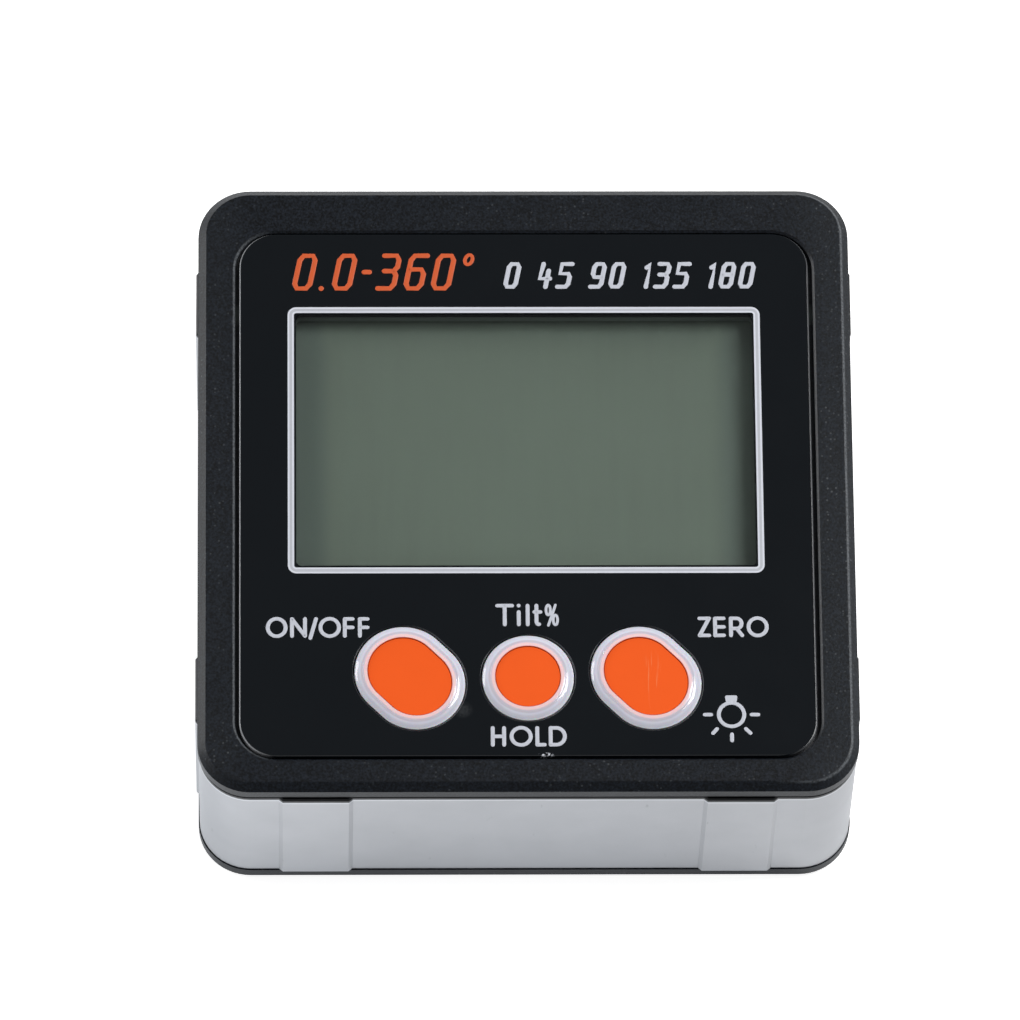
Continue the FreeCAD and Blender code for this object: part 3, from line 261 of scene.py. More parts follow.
def along_outline(tree, place, low, high, corner, reach):
    """1 on a rounded rectangle seen from the front, and 0 from this far beside its line."""
    middle, half = (low + high) / 2, (high - low) / 2
    beside = add_node(
        tree, "VectorMath", {0: place, 1: (middle.x, middle.y, 0.0)}, operation="SUBTRACT"
    )
    flat = add_node(tree, "VectorMath", {0: beside, 1: (1.0, 1.0, 0.0)}, operation="MULTIPLY")
    folded = add_node(tree, "VectorMath", {0: flat}, operation="ABSOLUTE")
    past = add_node(
        tree, "VectorMath", {0: folded, 1: (half.x - corner, half.y - corner, 0.0)},
        operation="SUBTRACT",
    )
    outside = add_node(tree, "VectorMath", {0: past, 1: (0.0, 0.0, 0.0)}, operation="MAXIMUM")
    away = add_node(tree, "VectorMath", {0: outside}, operation="LENGTH")
    off = add_node(tree, "Math", {0: away, 1: corner}, operation="SUBTRACT")
    size = add_node(tree, "Math", {0: off}, operation="ABSOLUTE")
    return add_node(tree, "MapRange", {
        "Value": size, "From Max": reach, "To Min": 1.0, "To Max": 0.0,
    })


def layered(tree, ground, *layers):
    """A ground colour with other colours laid over it, each by its own share."""
    colour = ground
    for share, cover in layers:
        colour = add_node(
            tree, "Mix", {"Factor": share, "A": colour, "B": cover}, data_type="RGBA"
        )
    return colour


def settled_dust(tree, place, spot, cloud):
    """Fine dust: grains of about 0.15 mm, thickest on the right, and a haze at both sides."""
    cells = add_node(
        tree, "TexVoronoi", {"Vector": place, "Scale": per_metre(0.4), "Randomness": 1.0}
    )
    near = add_node(tree, "MapRange", {
        "Value": cells.outputs["Distance"],
        "From Min": 0.1, "From Max": 0.32, "To Min": 1.0, "To Max": 0.0,
    })
    chance = add_node(tree, "SeparateColor", {"Color": cells.outputs["Color"]})
    chosen = add_node(tree, "MapRange", {"Value": chance, "From Min": 0.5, "From Max": 1.0})
    speck = add_node(tree, "Math", {0: near, 1: chosen}, operation="MULTIPLY")
    right, left = (
        add_node(tree, "MapRange", {
            "Value": spot.outputs["X"], "From Min": start * MM, "From Max": end * MM,
            "To Min": low, "To Max": high,
        })
        for start, end, low, high in ((24, 28, 0.0, 0.5), (-28, -25, 0.05, 0.0))
    )
    clouded = add_node(tree, "MapRange", {
        "Value": cloud, "From Min": 0.45, "From Max": 0.68, "To Min": 0.2, "To Max": 0.9,
    })
    thick = add_node(tree, "Math", {0: clouded, 1: right}, operation="ADD")
    grains = add_node(tree, "Math", {0: speck, 1: thick}, operation="MULTIPLY")
    haze = add_node(tree, "Math", {0: right, 1: 0.2, 2: left}, operation="MULTIPLY_ADD")
    return add_node(tree, "Math", {0: grains, 1: haze}, operation="ADD", use_clamp=True)


def painted_edge_highlights(tree, place, spot, grain):
    """Painted highlights on the front: along the ridge on the right and the recess's edge on the
    left.
    """
    inset = Vector((RIDGE_INSET, RIDGE_INSET, 0.0))
    # each outline, and from where to where across the cover its painted highlight comes or goes
    outlines = (
        (COVER_LOW + inset, COVER_HIGH - inset, RIDGE_CORNER, 22, 29, 0.0, 1.0),
        (LIP_LOW, LIP_HIGH, LIP_CORNER, -27, -23, 1.0, 0.0),
    )
    lit_lines = []
    for low, high, corner, start, end, first, last in outlines:
        line = along_outline(tree, place, low, high, corner, HIGHLIGHT_REACH)
        side = add_node(tree, "MapRange", {
            "Value": spot.outputs["X"], "From Min": start * MM, "From Max": end * MM,
            "To Min": first, "To Max": last,
        })
        lit_lines.append(add_node(tree, "Math", {0: line, 1: side}, operation="MULTIPLY"))
    either = add_node(tree, "Math", dict(enumerate(lit_lines)), operation="MAXIMUM")
    broken = add_node(tree, "MapRange", {
        "Value": grain, "From Min": 0.4, "From Max": 0.55, "To Min": 0.45, "To Max": 1.0,
    })
    front = add_node(tree, "Math", {0: spot.outputs["Z"], 1: BAND_TOP}, operation="GREATER_THAN")
    there = add_node(tree, "Math", {0: either, 1: front}, operation="MULTIPLY")
    return add_node(tree, "Math", {0: there, 1: broken}, operation="MULTIPLY")


def moulded_abs(name, gloss_level):
    """Injection moulded ABS with a spark-eroded grain: dull, with fine pale dust in it, painted
    light at the head of the window and painted highlights on the front's edges.
    """
    finish = settings().finish
    material, tree, shader = start_material(name)
    place = add_node(tree, "TexCoord").outputs["Object"]
    spot = add_node(tree, "SeparateXYZ", {"Vector": place})
    grain = add_node(tree, "TexNoise", {"Vector": place, "Scale": per_metre(0.2), "Detail": 3.0})
    cloud = add_node(tree, "TexNoise", {"Vector": place, "Scale": per_metre(6.0), "Detail": 3.0})
    pits = add_node(tree, "MapRange", {"Value": grain, "From Min": 0.36, "From Max": 0.66})
    colour = layered(
        tree, shaded(finish.cover, 0.3),
        (pits, shaded(finish.cover, 1.9)),
        (settled_dust(tree, place, spot, cloud), opaque(finish.cover_speck)),
        # painted light from the display on the wall at the head of the window's opening
        (patch(tree, place, *HEAD_WALL), opaque(finish.head_wall_light)),
        # painted highlights along the front's edges, broken up by the grain
        (painted_edge_highlights(tree, place, spot, grain), opaque(finish.edge_highlight)),
    )
    gloss = add_node(tree, "MapRange", {"Value": cloud, "To Min": 0.3, "To Max": 0.4})
    relief = add_node(tree, "Bump", {"Height": grain, "Distance": 0.03 * MM, "Strength": 0.6})
    wire(tree, shader, {
        "Base Color": colour, "Roughness": gloss, "Normal": relief, "IOR": 1.5,
        "Specular IOR Level": gloss_level,
    })
    return material


def shaded_sawn_metal(tree, place):
    """Colour of a sawn end: darkened by painted shade, with bright saw marks, most of them towards
    the left.
    """
    finish = settings().finish
    teeth = add_node(tree, "TexNoise", {"Vector": place, "Scale": per_metre(0.22), "Detail": 3.0})
    across = add_node(tree, "SeparateXYZ", {"Vector": place}).outputs["X"]
    worn = add_node(tree, "MapRange", {
        "Value": across, "From Min": -16 * MM, "From Max": 16 * MM,
        "To Min": 0.46, "To Max": 0.62,
    })
    above = add_node(tree, "Math", {0: teeth, 1: worn}, operation="SUBTRACT")
    bright = add_node(tree, "MapRange", {"Value": above, "From Min": 0.0, "From Max": 0.12})
    return layered(tree, opaque(finish.shaded_sawn_end), (bright, opaque(finish.band)))


def groove_light_and_shade(tree, place):
    """Shares of a painted highlight line along the groove under the cover and of painted shade in
    the groove above it.
    """
    up = add_node(tree, "SeparateXYZ", {"Vector": place}).outputs["Z"]
    beside = add_node(tree, "Math", {0: up, 1: BAND_TOP - HIGHLIGHT_DEPTH}, operation="SUBTRACT")
    apart = add_node(tree, "Math", {0: beside}, operation="ABSOLUTE")
    line = add_node(tree, "MapRange", {
        "Value": apart, "From Min": 0.04 * MM, "From Max": 0.18 * MM,
        "To Min": 1.0, "To Max": 0.0,
    })
    # painted shade in the groove, up to the band's end
    groove_shade = add_node(tree, "MapRange", {
        "Value": up, "From Min": BAND_TOP - 0.56 * MM, "From Max": BAND_TOP - 0.44 * MM,
    })
    return line, groove_shade


def satin_aluminium():
    """Extruded aluminium, blasted and anodised: pale satin, with painted shade on its sawn ends
    and in the groove under the cover, and a painted highlight line below it.
    """
    finish = settings().finish
    material, tree, shader = start_material("satin_anodised_aluminium")
    spots = add_node(tree, "TexCoord")
    place = spots.outputs["Object"]
    cloud = add_node(tree, "TexNoise", {"Vector": place, "Scale": per_metre(5.0), "Detail": 4.0})
    grit = add_node(tree, "TexNoise", {"Vector": place, "Scale": per_metre(0.12), "Detail": 2.0})
    # a few rubbed marks, about 1 mm wide and longer across the band
    drawn = add_node(tree, "Mapping", {"Vector": place, "Scale": (1.0, 1.0, 0.35)})
    marks = add_node(tree, "TexNoise", {"Vector": drawn, "Scale": per_metre(1.1), "Detail": 5.0})
    rubbed = add_node(tree, "MapRange", {
        "Value": marks, "From Min": 0.71, "From Max": 0.78, "To Min": 0.0, "To Max": 0.45,
    })
    # the sawn ends face up and down, and get painted shade
    facing = add_node(tree, "SeparateXYZ", {"Vector": spots.outputs["Normal"]}).outputs["Z"]
    turned = add_node(tree, "Math", {0: facing}, operation="ABSOLUTE")
    end = add_node(tree, "MapRange", {"Value": turned, "From Min": 0.86, "From Max": 0.95})
    line, groove_shade = groove_light_and_shade(tree, place)
    colour = layered(
        tree, opaque(finish.band),
        (cloud, shaded(finish.band, 0.9)),
        (rubbed, shaded(finish.band, 0.45)),
        # painted shade on the sawn ends, with real saw marks
        (end, shaded_sawn_metal(tree, place)),
        # a painted highlight line along the groove, and painted shade in the groove under the
        # cover's skirt
        (line, shaded(finish.band, 1.3)),
        (groove_shade, shaded(finish.band, 0.1)),
    )
    gloss = add_node(tree, "MapRange", {"Value": cloud, "To Min": 0.36, "To Max": 0.46})
    relief = add_node(tree, "Bump", {"Height": grit, "Distance": 0.01 * MM, "Strength": 0.25})
    wire(tree, shader, {
        "Base Color": colour, "Metallic": 1.0, "Roughness": gloss, "Normal": relief,
    })
    return material


def panel_flaws(tree, place):
    """Shares of a nick in the lower edge and of a wiped smear beside the left key."""
    crumbs = add_node(
        tree, "TexNoise", {"Vector": place, "Scale": per_metre(0.24), "Detail": 2.0}
    )
    flaws = []
    for middle, reach, start, end, low, high in (NICK, SMEAR):
        grains = add_node(tree, "MapRange", {
            "Value": crumbs, "From Min": start, "From Max": end, "To Min": low, "To Max": high,
        })
        there = patch(tree, place, middle, reach)
        flaws.append(add_node(tree, "Math", {0: there, 1: grains}, operation="MULTIPLY"))
    return flaws


def painted_cut_edge_highlight(tree, place, normal):
    """How much painted highlight the film's cut edge gets: most where it faces left, some at the
    far right.
    """
    facing = add_node(tree, "SeparateXYZ", {"Vector": normal}).outputs["X"]
    across = add_node(tree, "SeparateXYZ", {"Vector": place}).outputs["X"]
    leftward, straight, beyond, rightward = (
        add_node(tree, "MapRange", {
            "Value": value, "From Min": start, "From Max": end, "To Min": low, "To Max": high,
        })
        for value, start, end, low, high in (
            (facing, -0.6, -0.08, 1.0, 0.0), (facing, -1.0, -0.75, 1.0, 0.12),
            (across, 20 * MM, 24 * MM, 0.0, 0.3), (facing, 0.15, 0.9, 0.0, 1.0),
        )
    )
    # in the key holes only the part that faces straight to the left gets the painted highlight
    outer = add_node(tree, "Math", {0: across, 1: -22 * MM}, operation="LESS_THAN")
    shown = add_node(tree, "Math", {0: outer, 1: straight}, operation="MAXIMUM")
    pale = add_node(tree, "Math", {0: leftward, 1: shown}, operation="MULTIPLY")
    return add_node(
        tree, "Math", {0: beyond, 1: rightward, 2: pale}, operation="MULTIPLY_ADD"
    )


def glossy_panel():
    """Hard-coated polycarbonate film, printed black behind: smooth, with a clean reflection and a
    painted highlight on its cut edges.
    """
    finish = settings().finish
    material, tree, shader = start_material("glossy_face_film")
    spots = add_node(tree, "TexCoord")
    place = spots.outputs["Object"]
    smears = add_node(tree, "TexNoise", {"Vector": place, "Scale": per_metre(5.0), "Detail": 4.0})
    gloss = add_node(tree, "MapRange", {"Value": smears, "To Min": 0.10, "To Max": 0.18})
    nick, smear = panel_flaws(tree, place)
    colour = layered(
        tree, opaque(finish.panel),
        (smear, opaque(finish.smear)),
        (nick, opaque(finish.line_ink)),
        # painted highlight on the film's cut edges
        (painted_cut_edge_highlight(tree, place, spots.outputs["Normal"]), opaque(finish.panel_edge_highlight)),
    )
    wire(tree, shader, {"Base Color": colour, "Roughness": gloss, "IOR": 1.5})
    return material


def clear_window():
    """Cast acrylic with blackened cut edges: clear, lets light through to the display."""
    material, tree, shader = start_material("clear_acrylic")
    wire(tree, shader, {
        "Base Color": (1.0, 1.0, 1.0, 1.0), "Roughness": 0.0, "IOR": 1.49,
        "Transmission Weight": 1.0,
    })
    through = add_node(tree, "BsdfTransparent", {"Color": (0.93, 0.94, 0.93, 1.0)})
    rays = add_node(tree, "LightPath")
    lit = add_node(
        tree, "Math", {0: rays.outputs["Is Shadow Ray"], 1: rays.outputs["Is Diffuse Ray"]},
        operation="MAXIMUM",
    )
    clear = add_node(tree, "MixShader", {0: lit, 1: shader, 2: through})
    paint = add_node(tree, "BsdfDiffuse", {"Color": (0.014, 0.016, 0.018, 1.0)})
    facing = add_node(
        tree, "SeparateXYZ", {"Vector": add_node(tree, "TexCoord").outputs["Normal"]}
    ).outputs["Z"]
    level = add_node(tree, "Math", {0: facing}, operation="ABSOLUTE")
    cut_edge = add_node(tree, "Math", {0: level, 1: 0.6}, operation="LESS_THAN")
    both = add_node(tree, "MixShader", {0: cut_edge, 1: clear, 2: paint})
    wire(tree, tree.nodes["Material Output"], {"Surface": both})
    return material


def painted_frame_shadow(tree, place):
    """How much painted shadow of the window's frame lies on the display, on the left, on the right
    and at the top.
    """
    spot = add_node(tree, "SeparateXYZ", {"Vector": place})
    # where it starts to fade, where it ends, both in millimetres from the edge, and how much
    sides = (
        ("X", OPENING_LOW.x, 1.3, 3.9, 1.0),
        ("X", OPENING_HIGH.x, -1.6, -4.3, 0.85),
        ("Y", OPENING_HIGH.y, 0.0, -3.6, 0.45),
    )
    rim = 0.0
    for axis, edge, start, reach, amount in sides:
        share = add_node(tree, "MapRange", {
            "Value": spot.outputs[axis], "From Min": edge + start * MM,
            "From Max": edge + reach * MM, "To Min": amount, "To Max": 0.0,
        }, interpolation_type="SMOOTHSTEP")
        rim = add_node(tree, "Math", {0: rim, 1: share}, operation="MAXIMUM")
    return rim


def display_film():
    """Polariser on the display, off: even grey-green, with painted shadow of the window's frame
    towards its edges.
    """
    finish = settings().finish
    material, tree, shader = start_material("display_polariser")
    place = add_node(tree, "TexCoord").outputs["Object"]
    cloud = add_node(tree, "TexNoise", {"Vector": place, "Scale": per_metre(14.0), "Detail": 1.0})
    # faint streaks from wiping, about 1 mm wide and many times as long
    wiped = add_node(tree, "Mapping", {"Vector": place, "Scale": (1.0, 0.1, 1.0)})
    streaks = add_node(tree, "TexNoise", {"Vector": wiped, "Scale": per_metre(1.2), "Detail": 3.0})
    uneven = add_node(tree, "Math", {0: cloud, 1: streaks}, operation="MULTIPLY")
    colour = layered(
        tree, shaded(finish.display, 1.07),
        (uneven, shaded(finish.display, 0.8)),
        # painted shadow of the window's frame
        (painted_frame_shadow(tree, place), opaque(finish.display_shadow)),
    )
    wire(tree, shader, {"Base Color": colour, "Roughness": 0.6, "IOR": 1.49})
    return material


def key_rim_plastic():
    """Clear polycarbonate over a pale print, with a painted orange glow beside the key's face and
    painted bands of light and shade.
    """
    finish = settings().finish
    material, tree, shader = start_material("key_rim_polycarbonate")
    outward = add_node(tree, "Attribute", attribute_name="outward").outputs["Fac"]
    ramp = add_node(tree, "ValToRGB", {"Fac": outward})
    # painted light and shade: dark orange shade at the face's edge, orange glow beside it, duller
    # and brighter bands for the mould's fine turned rings, and a highlight at the outside
    stops = (
        (0.0, [share * 0.55 for share in finish.key_face]),
        (0.03, [share * 0.55 for share in finish.key_face]),
        (0.09, finish.rim_orange_glow),
        (0.25, finish.rim_orange_glow),
        (0.37, finish.rim_middle),
        (0.47, [share * 0.93 for share in finish.rim_middle]),
        (0.6, [share * 1.05 for share in finish.rim_outside]),
        (0.76, [share * 0.93 for share in finish.rim_outside]),
        (0.9, finish.rim_outside),
        (1.0, [min(1.0, share * 1.35) for share in finish.rim_outside]),
    )
    bands = ramp.color_ramp.elements
    for position, colour in stops[1:-1]:
        bands.new(position)
    for band, (position, colour) in zip(bands, stops):
        band.position = position
        band.color = opaque(colour)
    wire(tree, shader, {
        "Base Color": ramp, "Roughness": 0.1, "IOR": 1.58,
        "Subsurface Weight": 0.15, "Subsurface Scale": 0.3 * MM,
    })
    return material


def key_face_plastic():
    """Moulded orange ABS, smooth, with fine rubbed lines on the right key."""
    finish = settings().finish
    material, tree, shader = start_material("orange_abs")
    place = add_node(tree, "TexCoord").outputs["Object"]
    cloud = add_node(tree, "TexNoise", {"Vector": place, "Scale": per_metre(2.5), "Detail": 2.0})
    drawn = add_node(tree, "Mapping", {"Vector": place, "Scale": (1.0, 0.06, 1.0)})
    lines = add_node(tree, "TexNoise", {"Vector": drawn, "Scale": per_metre(0.16), "Detail": 2.0})
    fine = add_node(tree, "MapRange", {
        "Value": lines, "From Min": 0.56, "From Max": 0.68, "To Min": 0.0, "To Max": 0.45,
    })
    spot = patch(tree, place, *RUBBED_SPOT)
    rubbed = add_node(tree, "Math", {0: fine, 1: spot}, operation="MULTIPLY")
    colour = layered(
        tree, opaque(finish.key_face),
        (cloud, shaded(finish.key_face, 0.96)), (rubbed, opaque(finish.rubbed_face)),
    )
    wire(tree, shader, {
        "Base Color": colour, "Roughness": 0.24, "IOR": 1.5, "Specular IOR Level": 0.35,
    })
    return material


def plain_finish(name, code, roughness, metallic=0.0, grain=0.3, relief=0.004, spread=0.85):
    """A finish whose colour and relief vary by a fine grain, in millimetres."""
    material, tree, shader = start_material(name)
    colour = linear(code)
    place = add_node(tree, "TexCoord").outputs["Object"]
    noise = add_node(tree, "TexNoise", {"Vector": place, "Scale": per_metre(grain), "Detail": 3.0})
    tint = layered(tree, opaque(colour), (noise, shaded(colour, spread)))
    bump = add_node(tree, "Bump", {"Height": noise, "Distance": relief * MM, "Strength": 0.5})
    wire(tree, shader, {
        "Base Color": tint, "Metallic": metallic, "Roughness": roughness, "Normal": bump,
    })
    return material


def ink(name, colour):
    """Screen-printed ink: opaque, slightly uneven at its grain."""
    material, tree, shader = start_material(name)
    place = add_node(tree, "TexCoord").outputs["Object"]
    mottle = add_node(tree, "TexNoise", {"Vector": place, "Scale": per_metre(0.25), "Detail": 2.0})
    tint = layered(tree, opaque(colour), (mottle, shaded(colour, 0.9)))
    wire(tree, shader, {"Base Color": tint, "Roughness": 0.35, "IOR": 1.5})
    return material


# Modelling helpers

def only(thing):
    """Selects one object alone and makes it active."""
    bpy.ops.object.select_all(action="DESELECT")
    thing.select_set(True)
    bpy.context.view_layer.objects.active = thing


def clear_selection():
    """Leaves nothing selected."""
    bpy.ops.object.select_all(action="DESELECT")


def settle(thing, name):
    """Names a finished piece and moves its place into its mesh."""
    only(thing)
    bpy.ops.object.transform_apply(location=True, rotation=True, scale=True)
    thing.name = name
    thing.data.name = name
    return thing


def raise_faces(height):
    """Extrudes what is selected straight up."""
    bpy.ops.mesh.extrude_region_move(TRANSFORM_OT_translate={"value": (0, 0, height)})


def unpicked_mesh(thing):
    """The mesh of an object that leaves edit mode, with nothing selected in it."""
    bpy.ops.object.mode_set(mode="OBJECT")
    for part in (thing.data.vertices, thing.data.edges, thing.data.polygons):
        part.foreach_set("select", [False] * len(part))
    return thing.data


def pick_faces(thing, test):
    """Selects the faces whose centre and normal pass the test, from edit mode and back."""
    for face in unpicked_mesh(thing).polygons:
        face.select = test(face.center, face.normal)
    bpy.ops.object.mode_set(mode="EDIT")
    bpy.ops.mesh.select_mode(type="FACE")


def pick_points(thing, test):
    """Selects the vertices that pass the test, from edit mode and back."""
    for vertex in unpicked_mesh(thing).vertices:
        vertex.select = test(vertex.co)
    bpy.ops.object.mode_set(mode="EDIT")
    bpy.ops.mesh.select_mode(type="VERT")


# Letters and numbers drawn as strokes, in a box of one by one

def arc(middle_x, middle_y, reach_x, reach_y, start, end, steps=14):
    """Points along an arc, its angles in degrees."""
    points = []
    for step in range(steps + 1):
        angle = math.radians(start + (end - start) * step / steps)
        points.append((middle_x + reach_x * math.cos(angle), middle_y + reach_y * math.sin(angle)))
    return points


def ring(middle_x, middle_y, reach_x, reach_y):
    """A closed ring: its first point is given again at the end."""
    return arc(middle_x, middle_y, reach_x, reach_y, 0, 360, 28)


STEM = [(0, 0), (0, 1)]

# Rounded letters of the key labels, as centre lines
GLYPHS = {
    "O": [ring(0.5, 0.5, 0.5, 0.515)],
    "N": [STEM, [(0, 1), (1, 0)], [(1, 0), (1, 1)]],
    "/": [[(0, -0.12), (1, 1)]],
    "F": [STEM, [(0, 1), (1, 1)], [(0, 0.5), (1, 0.5)]],
    "Z": [[(0, 1), (1, 1)], [(1, 1), (0, 0)], [(0, 0), (1, 0)]],
    "E": [STEM, [(0, 1), (1, 1)], [(0, 0.5), (1, 0.5)], [(0, 0), (1, 0)]],
    "R": [
        STEM,
        [(0, 1)] + arc(0.5, 0.7, 0.46, 0.3, 90, -90) + [(0, 0.4)],
        [(0.52, 0.4), (1, 0)],
    ],
    "H": [STEM, [(1, 0), (1, 1)], [(0, 0.5), (1, 0.5)]],
    "L": [STEM, [(0, 0), (1, 0)]],
    "D": [STEM, [(0, 1)] + arc(0.4, 0.5, 0.6, 0.5, 90, -90) + [(0, 0)]],
    "T": [[(0, 1), (1, 1)], [(0.5, 1), (0.5, 0)]],
    "i": [[(0.5, 0), (0.5, 0.66)], [(0.5, 0.999), (0.5, 1)]],
    "l": [[(0.5, 0), (0.5, 1)]],
    "t": [
        [(0.34, 1), (0.34, 0.2)] + arc(0.68, 0.2, 0.34, 0.2, 180, 285, 8),
        [(0, 0.66), (1, 0.66)],
    ],
    "%": [
        ring(0.19, 0.75, 0.19, 0.25), ring(0.81, 0.25, 0.19, 0.25), [(0.2, -0.02), (0.82, 1)],
    ],
}

# Squared numbers of the upper row, with cut corners: the width of each, as a share of its
# height, and its centre lines
SQUARED_RING = [
    (0.2, 0), (0.8, 0), (1, 0.14), (1, 0.86), (0.8, 1), (0.2, 1), (0, 0.86), (0, 0.14), (0.2, 0),
]
SIX = [
    (1, 1), (0.2, 1), (0, 0.86), (0, 0.14), (0.2, 0), (0.8, 0), (1, 0.14), (1, 0.44), (0.8, 0.58),
    (0, 0.58),
]
NUMBERS = {
    "0": (0.50, [SQUARED_RING]),
    "1": (0.26, [[(0, 0.84), (1, 1), (1, 0)]]),
    "3": (0.50, [
        [(0, 1), (0.8, 1), (1, 0.86), (1, 0.66), (0.8, 0.53), (0.2, 0.53)],
        [(0.8, 0.53), (1, 0.4), (1, 0.14), (0.8, 0), (0, 0)],
    ]),
    "4": (0.50, [[(0.1, 1), (0, 0.36), (1, 0.36)], [(0.74, 0.7), (0.74, 0)]]),
    "5": (0.50, [[
        (1, 1), (0, 1), (0, 0.58), (0.8, 0.58), (1, 0.44), (1, 0.14), (0.8, 0), (0, 0),
    ]]),
    "6": (0.50, [SIX]),
    "8": (0.50, [SQUARED_RING, [(0, 0.53), (1, 0.53)]]),
    "9": (0.50, [[(1 - across, 1 - up) for across, up in SIX]]),
    ".": (0.14, [[(0.5, 0), (0.5, 0.001)]]),
    "°": (0.27, [ring(0.5, 0.86, 0.5, 0.14)]),
    "-": (0.25, [[(0, 0.5), (1, 0.5)]]),
    " ": (0.30, []),
}
THIN_GLYPHS = "%°"
THIN_SHARE = 0.7


def spread(text, across, up, slant):
    """Ranges of numbers at their own width, spread over a row by equal gaps."""
    height = up[1] - up[0]
    widths = [NUMBERS[glyph][0] * height for glyph in text]
    room = across[1] - across[0] - slant * height - sum(widths)
    pen, word = across[0], []
    for glyph, width in zip(text, widths):
        word.append((glyph, pen, pen + width))
        pen += width + room / (len(text) - 1)
    return word


def round_ended(points, half):
    """The points with a half round of shrinking width at both ends."""
    closed = (Vector(points[0]) - Vector(points[-1])).length < 1e-9
    if closed:
        return [(point, 1.0) for point in points[:-1]], True
    first, last = Vector(points[0]), Vector(points[-1])
    leaving = (Vector(points[1]) - first).normalized()
    arriving = (last - Vector(points[-2])).normalized()
    turns = (0.04, 0.35, 0.62, 0.85)
    start = [(first - leaving * half * math.cos(math.asin(t)), t) for t in turns]
    finish = [(last + arriving * half * math.cos(math.asin(t)), t) for t in reversed(turns)]
    return start + [(point, 1.0) for point in points] + finish, False


def draw_lines(name, lines, stroke, material):
    """Makes ink strokes on the face panel from centre lines with a radius at each point."""
    clear_selection()
    bpy.ops.curve.primitive_nurbs_path_add(location=(0, 0, 0))
    row = bpy.context.object
    curve = row.data
    curve.splines.clear()
    curve.dimensions = "3D"
    curve.bevel_depth = stroke / 2
    curve.bevel_resolution = 3
    for line, closed, weight in lines:
        spline = curve.splines.new("POLY")
        spline.points.add(len(line) - 1)
        for spot, (place, radius) in zip(spline.points, line):
            spot.co = (place[0], place[1], 0, 1)
            spot.radius = radius * weight
        spline.use_cyclic_u = closed
    bpy.ops.object.convert(target="MESH")
    row = bpy.context.object
    row.data.transform(
        Matrix.Translation((0, 0, FACE_SURFACE))
        @ Matrix.Diagonal((1, 1, settings().prints.ink_height / (stroke / 2), 1))
    )
    settle(row, name)
    bpy.ops.object.shade_smooth()
    row.data.materials.clear()
    row.data.materials.append(material)
    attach(row, "case")
    return row


def write(name, word, up, stroke, material, shapes, slant=0.0):
    """Draws a row of glyphs, each in its own range across, measured in millimetres."""
    lines = []
    for glyph, left, right in word:
        weight = THIN_SHARE if glyph in THIN_GLYPHS else 1.0
        half = stroke / MM * weight / 2
        for outline in shapes[glyph]:
            places = []
            for u, v in outline:
                x = left + half + u * (right - left - 2 * half)
                y = up[0] + half + v * (up[1] - up[0] - 2 * half)
                places.append(((x + slant * (y - up[0])) * MM, y * MM))
            line, closed = round_ended(places, half * MM)
            lines.append((line, closed, weight))
    return draw_lines(name, lines, stroke, material)


# Where the prints lie, measured in millimetres from the face's middle: each letter's left and
# right, and the row's foot and head

LABELS = (
    ("label_on_off", (-15.10, -13.06), (
        ("O", -23.79, -21.80), ("N", -21.59, -20.04), ("/", -19.92, -19.04),
        ("O", -19.00, -16.95), ("F", -16.79, -15.72), ("F", -15.42, -14.36),
    )),
    ("label_zero", (-15.10, -13.06), (
        ("Z", 15.47, 16.70), ("E", 16.88, 18.03), ("R", 18.32, 19.70), ("O", 19.92, 21.95),
    )),
    ("label_tilt", (-13.99, -11.77), (
        ("T", -2.92, -1.20), ("i", -1.0, -0.57), ("l", -0.18, 0.24), ("t", 0.46, 1.37),
        ("%", 1.57, 2.87),
    )),
    ("label_hold", (-25.82, -23.81), (
        ("H", -3.43, -2.04), ("O", -1.73, 0.37), ("L", 0.60, 1.62), ("D", 1.81, 3.46),
    )),
)
LARGE_ROW = ("range_large", "0.0-360°", (-21.5, -4.41), (19.58, 23.40))
SMALL_ROW = ("range_small", "0 45 90 135 180", (-2.01, 21.55), (19.76, 22.52))
ROW_SLANT = 0.2
LAMP_MIDDLE, LAMP_RADIUS = 18.41, 1.155
LAMP_RING = ring(LAMP_MIDDLE, -22.72, LAMP_RADIUS, LAMP_RADIUS)
LAMP_RAYS = (
    ((15.99, -22.72), (16.56, -22.72)),
    ((20.24, -22.72), (20.84, -22.72)),
    ((18.42, -24.65), (18.42, -25.25)),
    ((17.06, -24.12), (16.72, -24.52)),
    ((19.70, -24.12), (20.09, -24.52)),
)
# The lamp's cap, from the ring up: its half widths and heights
LAMP_CAP = ((0.48, -21.47), (0.595, -20.83))
# Its corners' radius, and its height as a share of the ring's ink
CAP_CORNER, CAP_INK_SHARE = 0.2 * MM, 0.9


class INCLINOMETER_OT_covers(Operator):
    """Moulded texture for the front cover, the rear cover and the battery door"""

    bl_idname = "inclinometer.covers"
    bl_label = "Covers"

    def execute(self, context):
        put_on(moulded_abs("moulded_abs", 0.25), "front_cover")
        put_on(moulded_abs("coarse_moulded_abs", 0.14), "rear_cover", "battery_door")
        return {"FINISHED"}


class INCLINOMETER_OT_metal_band(Operator):
    """Satin aluminium for the band with its measuring pads"""

    bl_idname = "inclinometer.metal_band"
    bl_label = "Metal band"

    def execute(self, context):
        put_on(satin_aluminium(), "metal_band")
        return {"FINISHED"}


